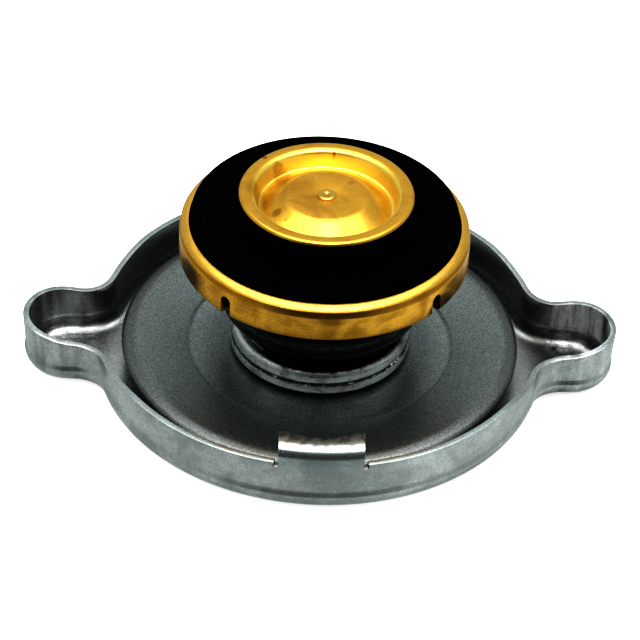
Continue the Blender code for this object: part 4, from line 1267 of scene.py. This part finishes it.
def ring_section():
    """Outer and inner lines of the ring."""
    wall = RING_RADIUS
    neck = wall - 0.38
    centre = Vector((wall - DOME_EDGE - DOME_ROUND * math.sin(DOME_OUT),
                     RING_NECK + DOME_RISE - DOME_ROUND * math.cos(DOME_OUT)))
    dome = []
    for step in range(DOME_STEPS + 1):
        tilt = DOME_IN + (DOME_OUT - DOME_IN) * step / DOME_STEPS
        dome.append(centre + Vector((math.sin(tilt), math.cos(tilt))) * DOME_ROUND)
    lip = dome[0].x
    outside = curve([(*dome[-1], 0), (wall - 0.12, RING_NECK + 0.02, 0.08), (neck, RING_NECK - 0.1, 0.1),
                     (neck, RING_NECK - 0.2, 0.06), (wall, RING_NECK - 0.9, 0.2),
                     (wall, RING_LOW, 0.5), (wall - FLAP_REACH, RING_LOW, 0)])
    inner = wall - RING_SHEET
    roof = dome[0].y - RING_SHEET
    inside = curve([(wall - FLAP_REACH, RING_LOW + RING_SHEET, 0), (inner, RING_LOW + RING_SHEET, 0.15),
                    (inner, RING_NECK - 1.1, 0.15), (inner - 0.3, RING_NECK - 0.5, 0.1),
                    (lip + 0.4, roof, 0.2), (lip, roof, 0)])
    return dome + outside[1:] + inside


def make_ring():
    """Turn the ring and cut its slots."""
    mesh = turned_mesh(ring_section(), RING_STEPS, ring_brass)
    half = SLOT_CUT_WIDTH / 2
    low = RING_LOW - 1.0
    arch_foot = RING_LOW + SLOT_CUT_HEIGHT - half
    angles = [math.pi * i / ARCH_STEPS for i in range(ARCH_STEPS + 1)]
    arch = [(half * math.cos(angle), arch_foot + half * math.sin(angle)) for angle in angles]
    cutter = prism([(half, low), *arch, (-half, low)], RING_RADIUS - 5.0, RING_RADIUS + 1.0)
    mesh = cut_ring(mesh, cutter, SLOTS, SLOT_ANGLE, ring_brass)
    return finish_piece("brass_ring", mesh, "pressure", "seal_retainer", ring_brass)


make_ring()

# %% [markdown]
# **The rubber seal** stands proud of the ring with a small rounded shoulder. Under the lip its
# flange is trapped, so only the top face and the shoulder show.

# %% Pressure seal
SEAL_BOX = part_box("pressure_seal")
SEAL_BORE = 6.8


def make_seal():
    """Turn the seal."""
    low = SEAL_BOX[0][2] / MM
    top = SEAL_BOX[1][2] / MM
    flange = SEAL_BOX[1][0] / MM
    shoulder = RING_RADIUS - 1.45 - 0.3
    flange_top = RING_NECK - 0.7
    section = curve([(SEAL_BORE, top, 0), (shoulder, top, 0.7), (shoulder, flange_top, 0.1),
                     (flange, flange_top, 0.2), (flange, low, 0.2), (SEAL_BORE, low, 0)])
    mesh = turned_mesh(section, TURN_STEPS, seal_rubber)
    return finish_piece("rubber_seal", mesh, "pressure", "pressure_seal", seal_rubber)


make_seal()

# %% [markdown]
# **The vacuum dish** is stamped from thin brass. The middle is raised round the stem, a cone falls to
# the groove that presses on the rubber, and a steep wall climbs to the flat rim. Each slope faces
# a different part of the room, and that is why the dish shows so many tones of one metal.

# %% Vacuum dish
DISH_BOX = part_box("vacuum_dish")
DISH_SHEET = 0.4
DISH_SEAT_RADIUS = 9.3


def make_dish():
    """Turn the dish from its skin line."""
    seat = DISH_BOX[0][2] / MM + DISH_SHEET
    rim = DISH_BOX[1][2] / MM
    outer = DISH_BOX[1][0] / MM
    line = curve([(1.2, seat + 1.95, 0), (DISH_SEAT_RADIUS - 3.1, seat + 1.95, 2.0),
                  (DISH_SEAT_RADIUS, seat, 0.4), (DISH_SEAT_RADIUS + 0.7, seat, 0.4),
                  (DISH_SEAT_RADIUS + 1.45, rim, 0.95), (outer - 0.2, rim, 0.5),
                  (outer - 0.1, rim - 0.45, 0)])
    mesh = turned_mesh(sheet(line, DISH_SHEET), TURN_STEPS, dish_brass)
    return finish_piece("valve_dish", mesh, "vacuum", "vacuum_dish", dish_brass)


make_dish()

# %% [markdown]
# **The stem** ends in a peened head: a low dome with a dimple from the punch. It is small, but it
# is where the eye lands, so it gets its own section with the dimple's rim rounded.

# %% Vacuum stem
STEM_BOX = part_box("vacuum_stem")
STEM_RADIUS = 1.2
PIN_RADIUS = 1.45
PIN_RISE = 0.36
PIN_CLEARANCE = 0.7


def make_stem():
    """Turn the stem with head, shoulder and foot."""
    top = STEM_BOX[1][2] / MM
    low = STEM_BOX[0][2] / MM
    seat = top - PIN_CLEARANCE
    head = seat + PIN_RISE
    shoulder = seat - DISH_SHEET - 0.3
    section = curve([(0.0, head - 0.2, 0), (0.22, head - 0.18, 0.1), (0.42, head - 0.01, 0.08),
                     (1.2, head, 0.2), (PIN_RADIUS, seat + 0.12, 0.12), (PIN_RADIUS, seat, 0),
                     (0.9, seat, 0.05), (0.9, shoulder, 0.05),
                     (1.9, shoulder, 0.1), (1.9, shoulder - 0.6, 0.1), (STEM_RADIUS, shoulder - 0.6, 0.1),
                     (STEM_RADIUS, low + 0.7, 0.1), (1.9, low + 0.7, 0.1), (1.9, low, 0.3), (0.0, low, 0)])
    mesh = turned_mesh(section, SMALL_TURN_STEPS, stem_brass, closed=False)
    return finish_piece("peened_stem", mesh, "vacuum", "vacuum_stem", stem_brass)


make_stem()

# %% [markdown]
# Plate, bush and keeper are small or hidden, and their solids already have the right form. They
# keep the frame's meshes and only take a finish.

# %% Finishes of the carried-over solids
def refinish(node, finish):
    """Give a solid of the frame another material."""
    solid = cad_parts[node]
    solid.data.materials.clear()
    solid.data.materials.append(finish)
    print("refinished", node)


for node, finish in (("pressure_plate", plate_brass), ("guide_bush", plain_brass),
                     ("spring_keeper", plain_brass)):
    refinish(node, finish)

# %% [markdown]
# **Studio.** Polished metal shows its surroundings more than its own colour, so the room is planned
# by what each slope of the cap mirrors. A wide box overhead draws the bright bands along every bend
# and lights the floor. A smaller, hotter one just in front of it gives the burst on the dish. The
# wall in front is dark, which puts the dark line under each bright one, and the back wall is mid
# grey. The photograph was cut out on white, so the pale floor is kept out of the mirrors, and the
# lower half of the room stands in for the grey table that the metal really saw.

# %% Floor
FLOOR_TONE = (0.86, 0.86, 0.86)
FLOOR_TOOTH = (0.84, 0.84, 0.84)
FLOOR_RADIUS = 3.0
FLOOR_GLOW = 0.45


def floor_finish():
    """Even pale paper with a trace of tooth."""
    paint = Paint("pale floor", FLOOR_TONE)
    tooth = paint.noise(0.05, 3.0)
    colour = paint.mix(tooth, FLOOR_TOOTH, FLOOR_TONE)
    glow = {"Emission Color": (1.0, 1.0, 1.0, 1.0), "Emission Strength": FLOOR_GLOW}
    return paint.done(colour, 0.0, 0.9, tooth, 0.01, 0.2, **glow)


def make_floor():
    """A wide flat disc under the cap."""
    bm = bmesh.new()
    bmesh.ops.create_circle(bm, cap_ends=True, segments=96, radius=FLOOR_RADIUS)
    mesh = as_mesh(bm, "floor")
    mesh.materials.append(floor_finish())
    floor = add_object("floor", mesh)
    floor.visible_glossy = False


make_floor()

# %% [markdown]
# The room is a world whose strength depends on direction alone. It goes from dark in front to mid
# grey at the sides and behind, and steep downward directions see the table instead.

# %% Room
ROOM_TINT = (0.93, 1.0, 0.985, 1.0)
ROOM_FRONT = 0.05
ROOM_AROUND = 0.42
TABLE_FAR = 0.36
TABLE_NEAR = 0.50


def make_room():
    """Surroundings: dark in front, mid grey round the sides and back, a grey table below."""
    world = bpy.data.worlds.new("room")
    world.use_nodes = True
    world.node_tree.nodes.clear()
    graph = Graph(world.node_tree)
    direction = graph.node("ShaderNodeTexCoord", output="Generated")
    x, y, z = graph.parts(direction)
    aside = x.sum("ABSOLUTE", x)
    smooth = {"interpolation_type": "SMOOTHSTEP"}
    wall = graph.node("ShaderNodeMapRange", smooth,
                      {0: y + aside * 0.8, 1: -0.65, 2: 0.15, 3: ROOM_FRONT, 4: ROOM_AROUND})
    table = graph.node("ShaderNodeMapRange", smooth, {0: z, 1: -0.90, 2: -0.55, 3: TABLE_NEAR, 4: TABLE_FAR})
    table = table + aside * 0.20 + x * 0.14
    below = graph.node("ShaderNodeMapRange", smooth, {0: z, 1: -0.52, 2: -0.38, 3: 1.0, 4: 0.0})
    strength = wall * (1.0 - below) + table * below
    sky = graph.node("ShaderNodeBackground", {}, {"Color": ROOM_TINT, "Strength": strength})
    target = world.node_tree.nodes.new("ShaderNodeOutputWorld")
    world.node_tree.links.new(sky.socket, target.inputs["Surface"])
    bpy.context.scene.world = world


make_room()

# %% [markdown]
# Two soft lights are enough. Each is an ellipse turned to face the cap, and its size decides how
# wide the bright band on a bend is, its power over its area how bright.

# %% Lights
def soft_light(name, place, size, power):
    """An area light at a place in metres that looks at the cap."""
    data = bpy.data.lights.new(name, "AREA")
    data.shape = "ELLIPSE"
    data.size = size[0]
    data.size_y = size[1]
    data.energy = power
    light = add_object(name, data)
    light.location = place
    light.rotation_mode = "QUATERNION"
    light.rotation_quaternion = (-Vector(place)).to_track_quat("-Z", "Y")


soft_light("overhead", (0.0, -0.03, 0.60), (1.10, 0.90), 4.3)
soft_light("core", (0.03, -0.16, 0.52), (0.26, 0.20), 0.6)

# %% [markdown]
# The photograph has deep blacks and clipped whites, so the display curve is plain and contrasty.

# %% Picture tones
def set_tones():
    """Plain display curve with the strong contrast of a catalogue cut-out."""
    tones = bpy.context.scene.view_settings
    tones.view_transform = "Standard"
    tones.look = "Very High Contrast"


set_tones()
